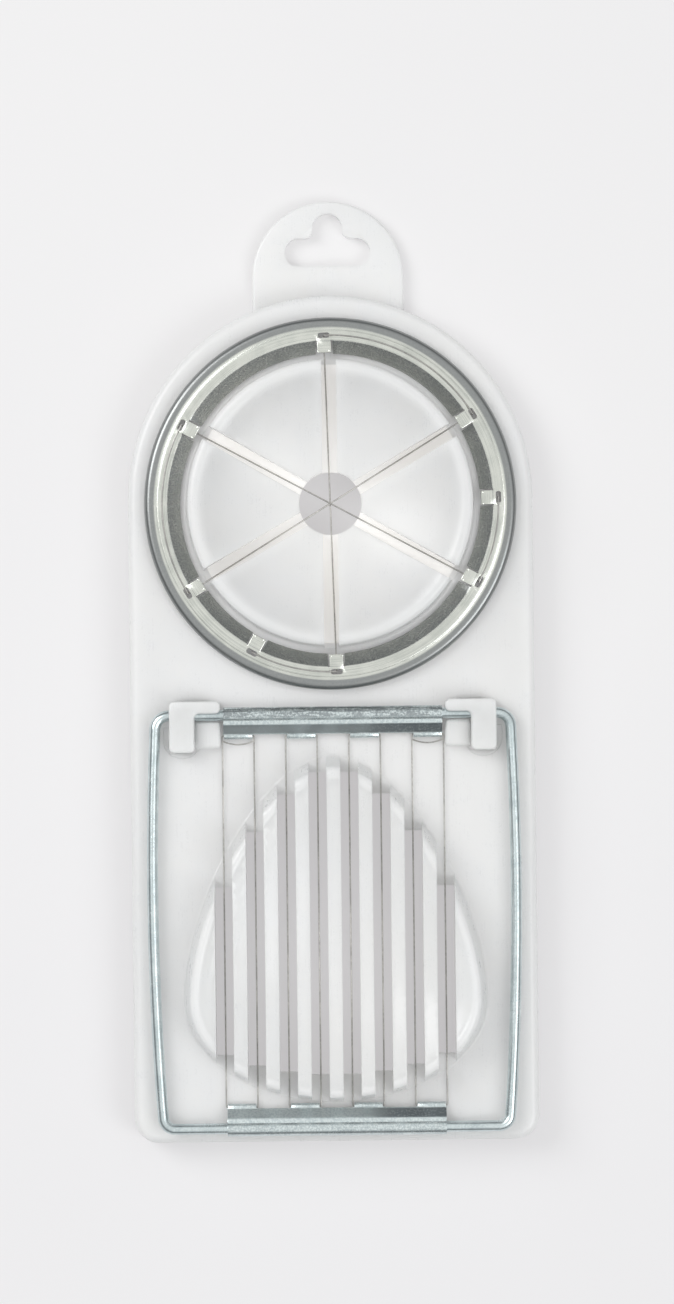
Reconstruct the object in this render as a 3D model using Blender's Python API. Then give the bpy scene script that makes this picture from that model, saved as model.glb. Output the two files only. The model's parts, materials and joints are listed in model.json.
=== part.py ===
"""Two-way egg slicer: a moulded base with two raised cups, a hinged wire frame and a loose wedge ring.

Metres, +Z up.  The slicer lies on its back: X across, Y along with the hanging tab at +Y.
The origin is under the middle of the base, on the surface that it rests on.
"""
import math

import bmesh
import bpy
from mathutils import Matrix, Vector

MM = 0.001

# ---- base moulding
BASE_WIDTH = 84.0 * MM
BASE_CORNER = 5.0 * MM            # plan radius of the two free corners
DECK_HEIGHT = 10.0 * MM
DECK_THICKNESS = 2.0 * MM
SKIRT_WALL = 2.0 * MM
SKIRT_DRAFT = 0.4 * MM
EDGE_ROUND = 1.5 * MM

# ---- hanging tab
TAB_RADIUS = 15.7 * MM
TAB_STAND_OFF = 3.9 * MM          # its middle from the half-round end
TAB_THICKNESS = 3.0 * MM
HANG_SLOT_LENGTH = 17.7 * MM
HANG_SLOT_WIDTH = 5.8 * MM
HANG_PEAK_WIDTH = 6.2 * MM
HANG_PEAK_RISE = 8.0 * MM         # slot centre to the top of its middle peak
HANG_BRIDGE = 2.5 * MM            # material left above the peak

# ---- round cup, for wedges
CUP_FROM_END = 131.7 * MM         # free end to the cup's middle
CUP_SET_BACK = 1.2 * MM           # cup's middle short of the centre of the half-round end
CUP_RADIUS = 29.5 * MM
CUP_HEIGHT = 12.0 * MM            # rim above the deck
CUP_RIM = 2.4 * MM                # width of the rim
CUP_RISE = 3.6 * MM               # lowest point of the bowl above the deck
CUP_WALL = 2.0 * MM
HUB_RADIUS = 6.45 * MM
WEDGE_SLOT = 3.0 * MM
WEDGE_CUTS = 3                    # chords, so twice as many wedges
WEDGE_FIRST_ANGLE = math.radians(30.0)

# ---- teardrop cup, for slices
DROP_HALF_WIDTH = 31.0 * MM
DROP_TAIL = 20.6 * MM             # widest line to the round end
DROP_NOSE = 50.0 * MM             # widest line to the narrow end
DROP_SHOULDER = 20.0 * MM         # how far the side runs on before it turns in
DROP_NOSE_WIDTH = 14.0 * MM
DROP_END_GAP = 8.9 * MM           # free end of the base to the round end of the cup
DROP_HEIGHT = 10.5 * MM           # rim above the deck
DROP_RIM = 2.4 * MM
DROP_RISE = 2.6 * MM              # lowest point of the bowl above the deck
DROP_BOWL_SHIFT = 8.0 * MM        # lowest point, from the widest line towards the nose
DROP_DRAFT = 1.2 * MM
SLICE_SLOT = 3.7 * MM
SLOT_FLOOR = 0.15 * MM            # slot floors above the deck, outside the open part
OPEN_HALF_WIDTH = 33.0 * MM       # ellipse on which the open slots end, at the round end
OPEN_TAIL = 15.4 * MM
OPEN_NOSE_WALL = 1.8 * MM

# ---- slicing frame
AXIS_FROM_END = 88.4 * MM         # hinge axis from the free end of the base
AXIS_HEIGHT = 2.4 * MM            # hinge axis above the deck
FREE_ROD_FROM_END = 3.4 * MM
ROD_RADIUS = 1.0 * MM
FRAME_HINGE_WIDTH = 73.2 * MM     # rod centre to rod centre
FRAME_FREE_WIDTH = 71.4 * MM
FRAME_BOW = 1.2 * MM
FRAME_HINGE_BEND = 2.9 * MM
FRAME_FREE_BEND = 2.4 * MM

# ---- folded wire bars
BAR_SET_BACK = 0.25 * MM          # ends of a bar inside the outer wires
SHEET = 0.4 * MM
FOLD_GAP = 0.2 * MM               # sheet to rod
WEB_REACH = 2.1 * MM              # all reaches are from the rod's centre
WEB_HEIGHT = 0.75 * MM
FLANGE_REACH = 3.9 * MM
LUG_DROP = 1.2 * MM               # lugs below the rod's centre
LUG_REACH = 4.78 * MM
LIP_DROP = 1.9 * MM

# ---- slicing wires
WIRE_RADIUS = 0.2 * MM
WIRE_PITCH = 6.5 * MM
WIRE_LOOPS = 4
WIRE_DROP = 1.75 * MM             # wires below the rod's centre
WIRE_TURN_REACH = 4.2 * MM
LUG_SIDE_GAP = 0.15 * MM

# ---- hinge clips
CLIP_OUTER = 33.6 * MM            # from the middle of the base
CLIP_LEG_WIDTH = 5.2 * MM
CLIP_LEG_LENGTH = 10.5 * MM
CLIP_ARM_GAP = 0.6 * MM           # inner end of the arm to the bar
CLIP_BACK_WALL = 1.6 * MM
CLIP_PLATE = 2.0 * MM
CLIP_LIP = 0.4 * MM               # edge of the arm's lip behind the rod's centre
CLIP_FOOT = 2.2 * MM
CLIP_TONGUE_WIDTH = 5.0 * MM
CLIP_BARB = 0.6 * MM
CLIP_BARB_HEIGHT = 0.8 * MM
SEAT_HEIGHT = 2.6 * MM
SEAT_END = 6.8 * MM               # front of the seat block from the axis
BOSS_CLEARANCE = 0.15 * MM        # top of the boss below the slicing wires
BOSS_WALL = 1.4 * MM

# ---- wedge ring
RING_CLEARANCE = 1.5 * MM         # cup's side to the inner lip
RING_LIP_WIDTH = 2.5 * MM
RING_WIDTH = 7.3 * MM             # inner lip to the outer edge
RING_CURL = 1.2 * MM              # outer radius of the rolled edge
RING_SHEET = 0.4 * MM
RING_TURN = math.radians(1.6)
RING_LUG_WIDTH = 2.9 * MM
RING_EYE_WIDTH = 2.4 * MM
RING_EYE_DEPTH = 1.1 * MM
RING_EYE_INSET = 1.1 * MM         # eyes' middles from the inner edge of the land
CHORD_STEP = 0.45 * MM            # height from one chord to the next where they cross
CHORD_DROP = 0.75 * MM            # middle chord below the top of the land

GAP = 0.3 * MM                    # between pieces that rest on or trap each other

# ---- sizes and places that follow
BASE_LENGTH = CUP_FROM_END + CUP_SET_BACK + BASE_WIDTH / 2 + TAB_STAND_OFF + TAB_RADIUS
BAR_LENGTH = (2 * WIRE_LOOPS - 1) * WIRE_PITCH - 2 * BAR_SET_BACK
BOSS_HEIGHT = AXIS_HEIGHT - WIRE_DROP - WIRE_RADIUS - BOSS_CLEARANCE
RING_LIP_RADIUS = CUP_RADIUS + RING_CLEARANCE
RING_LAND_RADIUS = RING_LIP_RADIUS + RING_LIP_WIDTH
RING_RADIUS = RING_LIP_RADIUS + RING_WIDTH
RING_EYE_RADIUS = RING_LAND_RADIUS + RING_EYE_INSET
FREE_END = -BASE_LENGTH / 2
AXIS_Y = FREE_END + AXIS_FROM_END
AXIS_Z = DECK_HEIGHT + AXIS_HEIGHT
FREE_ROD_Y = FREE_END + FREE_ROD_FROM_END
TAB_Y = BASE_LENGTH / 2 - TAB_RADIUS
CUP_Y = FREE_END + CUP_FROM_END
DROP_Y = FREE_END + DROP_END_GAP + DROP_TAIL
HANG_Y = BASE_LENGTH / 2 - HANG_BRIDGE - HANG_PEAK_RISE
RING_FLOOR = DECK_HEIGHT + GAP
LAND_TOP = RING_FLOOR + 2 * RING_CURL

WHITE = (0.86, 0.87, 0.88, 1.0)
CLIP_WHITE = (0.90, 0.91, 0.91, 1.0)
ZINC = (0.62, 0.67, 0.68, 1.0)
TIN = (0.66, 0.68, 0.64, 1.0)
WIRE_GREY = (0.42, 0.41, 0.40, 1.0)


def clear_scene():
    for old in list(bpy.data.objects):
        bpy.data.objects.remove(old, do_unlink=True)


def make_material(name, colour, roughness, metallic):
    material = bpy.data.materials.new(name)
    material.use_nodes = True
    shader = material.node_tree.nodes["Principled BSDF"]
    shader.inputs["Base Color"].default_value = colour
    shader.inputs["Roughness"].default_value = roughness
    shader.inputs["Metallic"].default_value = metallic
    material.diffuse_color = colour
    return material


def make_object(name, bm, helper=False, smooth=None):
    bmesh.ops.remove_doubles(bm, verts=bm.verts, dist=0.000001)
    bmesh.ops.recalc_face_normals(bm, faces=bm.faces)
    mesh = bpy.data.meshes.new(name)
    bm.to_mesh(mesh)
    bm.free()
    if smooth is not None:
        mesh.shade_smooth()
        mesh.set_sharp_from_angle(angle=math.radians(smooth))
    obj = bpy.data.objects.new(name, mesh)
    bpy.context.scene.collection.objects.link(obj)
    if helper:
        obj.hide_render = True
        obj.display_type = "WIRE"
    return obj


def ring_of(bm, points):
    verts = [bm.verts.new(point) for point in points]
    return verts, [bm.edges.new(pair) for pair in zip(verts, verts[1:] + verts[:1])]


def loft(name, rings, **options):
    """A closed solid through rings of equal point counts, whose first and last are flat caps."""
    bm = bmesh.new()
    made = [ring_of(bm, points) for points in rings]
    for (_, below), (_, above) in zip(made, made[1:]):
        bmesh.ops.bridge_loops(bm, edges=below + above)
    bm.faces.new(made[0][0])
    bm.faces.new(made[-1][0])
    return make_object(name, bm, **options)


def at_height(outline, z):
    return [(x, y, z) for x, y in outline]


def plate(name, outline, low, high, **options):
    return loft(name, [at_height(outline, low), at_height(outline, high)], **options)


def block(name, low, high, turn=0.0, about=(0.0, 0.0), **options):
    """A box between two corners, turned about a vertical line."""
    bm = bmesh.new()
    low, high = Vector(low), Vector(high)
    bmesh.ops.create_cube(bm, size=1.0)
    bmesh.ops.scale(bm, vec=high - low, verts=bm.verts)
    bmesh.ops.translate(bm, vec=(low + high) / 2, verts=bm.verts)
    pivot = Matrix.Translation((-about[0], -about[1], 0.0))
    bmesh.ops.rotate(bm, cent=(0, 0, 0), matrix=Matrix.Rotation(turn, 3, "Z"), verts=bm.verts, space=pivot)
    return make_object(name, bm, **options)


def turned(name, profile, centre, steps, **options):
    """A full turn of a closed (radius, height) profile about a vertical line."""
    bm = bmesh.new()
    verts, edges = ring_of(bm, [(radius, 0.0, height) for radius, height in profile])
    bmesh.ops.spin(bm, geom=verts + edges, cent=(0, 0, 0), axis=(0, 0, 1),
                   angle=2 * math.pi, steps=steps, use_merge=True)
    bmesh.ops.translate(bm, vec=(centre[0], centre[1], 0.0), verts=bm.verts)
    return make_object(name, bm, **options)


def prism_x(name, section, low, high, **options):
    """A (y, z) section carried along X."""
    return loft(name, [[(x, y, z) for y, z in section] for x in (low, high)], **options)


def tube(name, points, radius, sides, closed):
    """A round bar along a path, as a curve with filled ends."""
    curve = bpy.data.curves.new(name, "CURVE")
    curve.dimensions = "3D"
    curve.bevel_depth = radius
    curve.bevel_resolution = sides // 2 - 2
    curve.use_fill_caps = not closed
    spline = curve.splines.new("POLY")
    spline.points.add(len(points) - 1)
    for spot, point in zip(spline.points, points):
        spot.co = (*point, 1.0)
    spline.use_cyclic_u = closed
    spline.use_smooth = True
    obj = bpy.data.objects.new(name, curve)
    bpy.context.scene.collection.objects.link(obj)
    if not closed:
        obj.modifiers.new("join_caps", "WELD").merge_threshold = radius / 1000
    return obj


def combine(obj, helpers, operation):
    """Join helpers to an object, or cut them from it, all in one step."""
    group = bpy.data.collections.new(f"{obj.name}_{operation.lower()}")
    bpy.context.scene.collection.children.link(group)
    for helper in helpers:
        bpy.context.scene.collection.objects.unlink(helper)
        group.objects.link(helper)
    step = obj.modifiers.new(group.name, "BOOLEAN")
    step.operation = operation
    step.solver = "EXACT"
    step.operand_type = "COLLECTION"
    step.collection = group


def arc(centre, radius, first, last, steps):
    """Points on a circle from one angle to another, both ends included."""
    sweep = (last - first) / steps
    return [(centre[0] + radius * math.cos(first + k * sweep),
             centre[1] + radius * math.sin(first + k * sweep)) for k in range(steps + 1)]


def thick_path(path, thickness):
    """The outline of a sheet that follows a path, half its thickness on each side."""
    left, right = [], []
    for k, point in enumerate(path):
        here = Vector(point)
        before = (here - Vector(path[k - 1])).normalized() if k else None
        after = (Vector(path[k + 1]) - here).normalized() if k + 1 < len(path) else None
        before, after = before or after, after or before
        middle = (before + after).normalized()
        reach = thickness / 2 / max(middle.dot(after), 0.3)
        side = Vector((-middle.y, middle.x)) * reach
        left.append(tuple(here + side))
        right.append(tuple(here - side))
    return left + right[::-1]


# ---------------------------------------------------------------- base moulding
def base_outline(inset):
    """Square free end with small corners, straight sides and a half-round far end."""
    half = BASE_WIDTH / 2 - inset
    corner = BASE_CORNER - min(inset, BASE_CORNER * 0.8)
    low = FREE_END + inset + corner
    right_angle = math.pi / 2
    points = arc((half - corner, low), corner, -right_angle, 0.0, 5)
    points += arc((0.0, CUP_Y + CUP_SET_BACK), half, 0.0, math.pi, 36)
    points += arc((-half + corner, low), corner, math.pi, 3 * right_angle, 5)
    return points


def tab_outline():
    neck = CUP_Y + BASE_WIDTH / 4
    points = arc((0.0, TAB_Y), TAB_RADIUS, 0.0, math.pi, 24)
    return points + [(-TAB_RADIUS, neck), (TAB_RADIUS, neck)]


def hang_outline():
    """A wide slot with round ends and a round peak in the middle, which centres a hook."""
    radius = HANG_SLOT_WIDTH / 2
    reach = HANG_SLOT_LENGTH / 2 - radius
    peak = HANG_PEAK_WIDTH / 2
    right_angle = math.pi / 2
    points = arc((reach, HANG_Y), radius, -right_angle, right_angle, 8)
    points += arc((0.0, HANG_Y + HANG_PEAK_RISE - peak), peak, 0.0, math.pi, 10)
    points += arc((-reach, HANG_Y), radius, right_angle, 3 * right_angle, 8)
    return points


def cup_bowl(radius):
    """Height of the round bowl, part of a sphere from the hub to the rim."""
    rim = CUP_RADIUS - CUP_RIM
    depth = CUP_HEIGHT - CUP_RISE
    share = (radius ** 2 - HUB_RADIUS ** 2) / (rim ** 2 - HUB_RADIUS ** 2)
    return DECK_HEIGHT + CUP_RISE + depth * share


def cup_profile():
    root = DECK_HEIGHT - DECK_THICKNESS / 2
    rim = CUP_RADIUS - CUP_RIM
    top = DECK_HEIGHT + CUP_HEIGHT
    profile = [(HUB_RADIUS - GAP, root), (CUP_RADIUS, root), (CUP_RADIUS - GAP, top - CUP_RIM / 2)]
    profile += [(r, z) for r, z in arc((CUP_RADIUS - CUP_RIM / 2 - GAP, top - CUP_RIM / 2),
                                       CUP_RIM / 2, math.radians(30), math.pi / 2, 2)]
    steps = 6
    for k in range(steps + 1):
        radius = rim + (HUB_RADIUS - GAP - rim) * k / steps
        profile.append((radius, cup_bowl(radius)))
    return profile


def make_cup_pockets():
    """Six hollows under the bowl, between the channels of the wedge wires."""
    inner = HUB_RADIUS + CUP_WALL
    outer = CUP_RADIUS - GAP - CUP_WALL
    floor = DECK_HEIGHT - DECK_THICKNESS - GAP
    steps = 4
    profile = [(inner, floor), (outer, floor)]
    for k in range(steps + 1):
        radius = outer + (inner - outer) * k / steps
        profile.append((radius, cup_bowl(radius) - CUP_WALL))
    pockets = turned("cup_pockets", profile, (0.0, CUP_Y), 36, helper=True)
    webs = plate("cup_webs", star_outline(WEDGE_SLOT / 2 + CUP_WALL, CUP_RADIUS), floor - GAP,
                 DECK_HEIGHT + CUP_HEIGHT, helper=True)
    combine(pockets, [webs], "DIFFERENCE")
    return pockets


def drop_outline():
    """Half an ellipse at the round end, and two mirrored curves that meet at the narrow end."""
    tail = [(DROP_HALF_WIDTH * x, DROP_Y + DROP_TAIL * y)
            for x, y in arc((0, 0), 1.0, math.pi, 2 * math.pi, 16)]
    steps = 14
    side = []
    for k in range(1, steps + 1):
        t = k / steps
        back = 1.0 - t
        x = DROP_HALF_WIDTH * (back ** 3 + 3 * back ** 2 * t) + 3 * DROP_NOSE_WIDTH * back * t ** 2
        y = 3 * DROP_SHOULDER * back ** 2 * t + DROP_NOSE * (3 * back * t ** 2 + t ** 3)
        side.append((x, DROP_Y + y))
    return tail + side + [(-x, y) for x, y in side[-2::-1]]


def drop_reach(x):
    """Lowest and highest Y of the teardrop's outline on the line at x."""
    outline = drop_outline()
    hits = []
    for (x0, y0), (x1, y1) in zip(outline, outline[1:] + outline[:1]):
        if (x0 - x) * (x1 - x) <= 0 and x0 != x1:
            hits.append(y0 + (y1 - y0) * (x - x0) / (x1 - x0))
    return min(hits), max(hits)


def drop_ring(share, z):
    centre = DROP_Y + DROP_BOWL_SHIFT
    return [(x * share, centre + (y - centre) * share, z) for x, y in drop_outline()]


def drop_rings():
    rim = DECK_HEIGHT + DROP_HEIGHT
    inset = (DROP_HALF_WIDTH - DROP_DRAFT) / DROP_HALF_WIDTH
    crest = inset - DROP_RIM / 2 / DROP_HALF_WIDTH
    inner = inset - DROP_RIM / DROP_HALF_WIDTH
    rings = [drop_ring(1.0, DECK_HEIGHT - DECK_THICKNESS / 2), drop_ring(inset, rim - DROP_RIM / 2),
             drop_ring(crest, rim), drop_ring(inner, rim - DROP_RIM / 4)]
    depth = DROP_HEIGHT - DROP_RIM / 4 - DROP_RISE
    for share in (0.8, 0.6, 0.4, 0.2):
        rings.append(drop_ring(inner * share, DECK_HEIGHT + DROP_RISE + depth * share ** 2))
    return rings


def wire_places():
    """X of each slicing wire, two to a loop."""
    count = 2 * WIRE_LOOPS
    return [(k - (count - 1) / 2) * WIRE_PITCH for k in range(count)]


def make_slice_cutters():
    """For each wire, a channel above the deck that opens right through under the bowl."""
    cutters = []
    floor = DECK_HEIGHT + SLOT_FLOOR
    top = DECK_HEIGHT + DROP_HEIGHT + DECK_THICKNESS
    for k, x in enumerate(wire_places()):
        low, high = drop_reach(abs(x) - SLICE_SLOT / 2)
        tail = DROP_Y - OPEN_TAIL * math.sqrt(1.0 - (x / OPEN_HALF_WIDTH) ** 2)
        nose = drop_reach(x)[1] - OPEN_NOSE_WALL
        section = [(low - DROP_RIM, floor), (tail, floor), (tail, 0.0), (nose, 0.0), (nose, floor),
                   (high + DROP_RIM, floor), (high + DROP_RIM, top), (low - DROP_RIM, top)]
        cutters.append(prism_x(f"slice_slot_{k + 1}", section, x - SLICE_SLOT / 2, x + SLICE_SLOT / 2,
                               helper=True))
    return cutters


def star_outline(half_width, radius):
    """The plan of the wedge wires' channels: equal arms that cross at the middle of the cup."""
    arms = 2 * WEDGE_CUTS
    spread = math.pi / arms
    inner = half_width / math.sin(spread)
    points = []
    for k in range(arms):
        angle = WEDGE_FIRST_ANGLE + 2 * k * spread
        along = Vector((math.cos(angle), math.sin(angle)))
        across = Vector((-along.y, along.x))
        root = Vector((math.cos(angle + spread), math.sin(angle + spread))) * inner
        for point in (along * radius - across * half_width, along * radius + across * half_width, root):
            points.append((point.x, CUP_Y + point.y))
    return points


def clip_spans(side):
    """X spans of one clip: its leg, its arm and its tongue, each low to high."""
    arm_end = BAR_LENGTH / 2 + CLIP_ARM_GAP
    leg = sorted((side * CLIP_OUTER, side * (CLIP_OUTER - CLIP_LEG_WIDTH)))
    arm = sorted((side * (CLIP_OUTER - CLIP_LEG_WIDTH), side * arm_end))
    middle = side * (CLIP_OUTER + arm_end) / 2
    tongue = (middle - CLIP_TONGUE_WIDTH / 2, middle + CLIP_TONGUE_WIDTH / 2)
    return leg, arm, tongue


def clip_depths():
    """Y of the clip's back face, wall front, foot back and foot front."""
    wall = AXIS_Y + ROD_RADIUS + GAP
    back = wall + CLIP_BACK_WALL
    front = back - CLIP_LEG_LENGTH
    return back, wall, front + CLIP_FOOT, front


def make_seats(side, name):
    """Block in front of the rod and low boss round the foot's hole, and the clip's two holes."""
    leg, arm, tongue = clip_spans(side)
    back, wall, foot, front = clip_depths()
    root = DECK_HEIGHT - DECK_THICKNESS / 2
    block_front = AXIS_Y - SEAT_END
    seat = block(f"seat_{name}", (arm[0], block_front, root),
                 (arm[1], AXIS_Y - ROD_RADIUS - GAP, DECK_HEIGHT + SEAT_HEIGHT), helper=True)
    middle = (leg[0] + leg[1]) / 2
    radius = CLIP_LEG_WIDTH / 2 + BOSS_WALL
    boss_back = AXIS_Y - ROD_RADIUS - BOSS_WALL
    outline = arc((middle, front + radius - BOSS_WALL), radius, math.pi, 2 * math.pi, 10)
    outline += [(middle + radius, boss_back), (middle - radius, boss_back)]
    boss = plate(f"boss_{name}", outline, root, DECK_HEIGHT + BOSS_HEIGHT, helper=True)
    holes = [block(f"foot_hole_{name}", (leg[0] - GAP, front - GAP, 0.0),
                   (leg[1] + GAP, foot + GAP, DECK_HEIGHT * 2), helper=True),
             block(f"tongue_hole_{name}", (tongue[0] - GAP, wall - GAP, 0.0),
                   (tongue[1] + GAP, back + GAP, DECK_HEIGHT * 2), helper=True)]
    return [seat, boss], holes


def make_base(material):
    edge = EDGE_ROUND * (1.0 - math.sqrt(0.5))
    rings = [(0.0, 0.0), (SKIRT_DRAFT, DECK_HEIGHT - EDGE_ROUND),
             (SKIRT_DRAFT + edge, DECK_HEIGHT - edge), (SKIRT_DRAFT + EDGE_ROUND, DECK_HEIGHT)]
    base = loft("base", [at_height(base_outline(inset), z) for inset, z in rings], smooth=30)
    joined = [plate("tab", tab_outline(), 0.0, TAB_THICKNESS, helper=True),
              turned("cup_body", cup_profile(), (0.0, CUP_Y), 48, helper=True),
              loft("drop_body", drop_rings(), helper=True)]
    underside = DECK_HEIGHT - DECK_THICKNESS
    hub = arc((0.0, CUP_Y), HUB_RADIUS, 0.0, 2 * math.pi, 36)[:-1]
    star = star_outline(WEDGE_SLOT / 2, CUP_RADIUS + GAP)
    above = DECK_HEIGHT + 2 * CUP_HEIGHT
    cut = [loft("hollow", [at_height(base_outline(SKIRT_WALL), -GAP),
                           at_height(base_outline(SKIRT_WALL + SKIRT_DRAFT), underside)], helper=True),
           make_cup_pockets(),
           plate("hub_hole", hub, 0.0, above, helper=True),
           plate("wedge_slots", star, DECK_HEIGHT + SLOT_FLOOR, above, helper=True),
           plate("hang_hole", hang_outline(), -GAP, TAB_THICKNESS + GAP, helper=True)]
    cut += make_slice_cutters()
    for side, name in ((-1, "left"), (1, "right")):
        added, holes = make_seats(side, name)
        joined += added
        cut += holes
    combine(base, joined, "UNION")
    combine(base, cut, "DIFFERENCE")
    base.data.materials.append(material)
    return base


# ---------------------------------------------------------------- hinge clips
def make_clip(side, name, material):
    """An L-shaped clip: its wall and leg bridge the rod, and two barbed feet hold under the deck."""
    leg, arm, tongue = clip_spans(side)
    back, wall, foot, front = clip_depths()
    low = DECK_HEIGHT + GAP
    roof = AXIS_Z + ROD_RADIUS + GAP
    top = roof + CLIP_PLATE
    barb_top = DECK_HEIGHT - DECK_THICKNESS - GAP
    barb_low = barb_top - CLIP_BARB_HEIGHT
    section = [(back, low), (back, top), (front, top), (front, barb_top), (front - CLIP_BARB, barb_top),
               (front, barb_low), (foot, barb_low), (foot, roof), (wall, roof), (wall, low)]
    clip = prism_x(f"hinge_clip_{name}", section, leg[0], leg[1], smooth=30)
    lip = AXIS_Y + CLIP_LIP
    overlap = CLIP_LEG_WIDTH / 4
    arm_low, arm_high = (arm[0], arm[1] + overlap) if side > 0 else (arm[0] - overlap, arm[1])
    section = [(back, low), (back, top), (lip, top), (lip, roof), (wall, roof), (wall, low)]
    added = [prism_x(f"clip_arm_{name}", section, arm_low, arm_high, helper=True)]
    section = [(back, barb_low), (back + CLIP_BARB, barb_top), (back, barb_top), (back, low + GAP),
               (wall, low + GAP), (wall, barb_low)]
    added.append(prism_x(f"clip_tongue_{name}", section, tongue[0], tongue[1], helper=True))
    combine(clip, added, "UNION")
    clip.data.materials.append(material)
    return clip


# ---------------------------------------------------------------- slicing frame
def frame_path():
    """The rod's centre line: hinge side, bowed sides and free side, with round corners."""
    hinge, free = FRAME_HINGE_WIDTH / 2, FRAME_FREE_WIDTH / 2
    right_angle = math.pi / 2
    length = AXIS_Y - FREE_ROD_Y
    first, last = FRAME_FREE_BEND / length, 1.0 - FRAME_HINGE_BEND / length
    side = []
    steps = 10
    for k in range(1, steps):
        t = first + (last - first) * k / steps
        bow = 4 * FRAME_BOW * (t - first) * (last - t) / (last - first) ** 2
        side.append((free + (hinge - free) * t + bow, FREE_ROD_Y + length * t))
    right = arc((free - FRAME_FREE_BEND, FREE_ROD_Y + FRAME_FREE_BEND), FRAME_FREE_BEND, -right_angle, 0, 5)
    right += side
    right += arc((hinge - FRAME_HINGE_BEND, AXIS_Y - FRAME_HINGE_BEND), FRAME_HINGE_BEND, 0, right_angle, 5)
    return [(x, y, AXIS_Z) for x, y in right + [(-x, y) for x, y in right[::-1]]]


def bar_section():
    """The sheet's path from its free edge under the rod, round it, and down to the lug's lip."""
    radius = ROD_RADIUS + FOLD_GAP + SHEET / 2
    fold = arc((0.0, 0.0), radius, math.radians(-30), math.radians(-320), 14)
    return fold + [(WEB_REACH, WEB_HEIGHT), (FLANGE_REACH, -LUG_DROP),
                   (LUG_REACH, -LUG_DROP), (LUG_REACH, -LIP_DROP)]


def make_bar(name, rod_y, inwards, material):
    """A strip folded round the rod, whose inner edge is cut into four lugs with bent tips."""
    outline = thick_path(bar_section(), SHEET)
    half = BAR_LENGTH / 2
    section = [(rod_y + inwards * reach, AXIS_Z + height) for reach, height in outline]
    bar = prism_x(name, section, -half, half, smooth=40)
    lug_half = WIRE_PITCH / 2 - WIRE_RADIUS - LUG_SIDE_GAP
    centres = [(a + b) / 2 for a, b in zip(wire_places()[::2], wire_places()[1::2])]
    edges = [-half - GAP] + [c + s * lug_half for c in centres for s in (-1, 1)] + [half + GAP]
    near = rod_y + inwards * (FLANGE_REACH + SHEET / 4)
    far = rod_y + inwards * (LUG_REACH + SHEET)
    notches = [block(f"{name}_notch_{k + 1}", (edges[2 * k], min(near, far), DECK_HEIGHT),
                     (edges[2 * k + 1], max(near, far), AXIS_Z), helper=True) for k in range(WIRE_LOOPS + 1)]
    combine(bar, notches, "DIFFERENCE")
    bar.data.materials.append(material)
    return bar


def make_wire_loop(number, left, right, material):
    """One closed loop, round a lug of each bar."""
    hinge_y, free_y = AXIS_Y - WIRE_TURN_REACH, FREE_ROD_Y + WIRE_TURN_REACH
    bend = 2 * WIRE_RADIUS
    z = AXIS_Z - WIRE_DROP
    quarter = math.pi / 2
    corners = [(right - bend, free_y + bend, -quarter), (right - bend, hinge_y - bend, 0.0),
               (left + bend, hinge_y - bend, quarter), (left + bend, free_y + bend, 2 * quarter)]
    path = []
    for x, y, start in corners:
        path += [(px, py, z) for px, py in arc((x, y), bend, start, start + quarter, 2)]
    loop = tube(f"slicing_wire_{number}", path, WIRE_RADIUS, 8, closed=True)
    loop.data.materials.append(material)
    return loop


def hang_on(pivot, obj):
    obj.parent = pivot
    obj.matrix_parent_inverse = Matrix.Translation(-pivot.location)


def make_frame(zinc, wire):
    pivot = bpy.data.objects.new("frame_pivot", None)
    pivot.location = (0.0, AXIS_Y, AXIS_Z)
    bpy.context.scene.collection.objects.link(pivot)
    rod = tube("frame_rod", frame_path(), ROD_RADIUS, 12, closed=True)
    rod.data.materials.append(zinc)
    pieces = [rod, make_bar("hinge_wire_bar", AXIS_Y, -1, zinc),
              make_bar("free_wire_bar", FREE_ROD_Y, 1, zinc)]
    places = wire_places()
    for k in range(WIRE_LOOPS):
        pieces.append(make_wire_loop(k + 1, places[2 * k], places[2 * k + 1], wire))
    for piece in pieces:
        hang_on(pivot, piece)


# ---------------------------------------------------------------- wedge ring
def ring_section():
    """Rolled outer edge, flat land and an inner lip that slopes down to the deck."""
    radius = RING_CURL - RING_SHEET / 2
    centre = (RING_RADIUS - RING_CURL, RING_FLOOR + RING_CURL)
    curl = arc(centre, radius, math.radians(-170), math.radians(90), 13)
    land = LAND_TOP - RING_SHEET / 2
    slope = RING_LAND_RADIUS - RING_LIP_RADIUS
    return curl + [(RING_LAND_RADIUS, land), (RING_LIP_RADIUS, land - slope * 0.8)]


def lug_angles():
    """The chords' six ends, and the two anchors that hold the ends of the wire."""
    spread = math.pi / WEDGE_CUTS
    chord_ends = [WEDGE_FIRST_ANGLE + k * spread for k in range(2 * WEDGE_CUTS)]
    anchors = [chord_ends[4] - spread / 2, chord_ends[0] - spread / 2]
    return chord_ends, anchors


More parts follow.
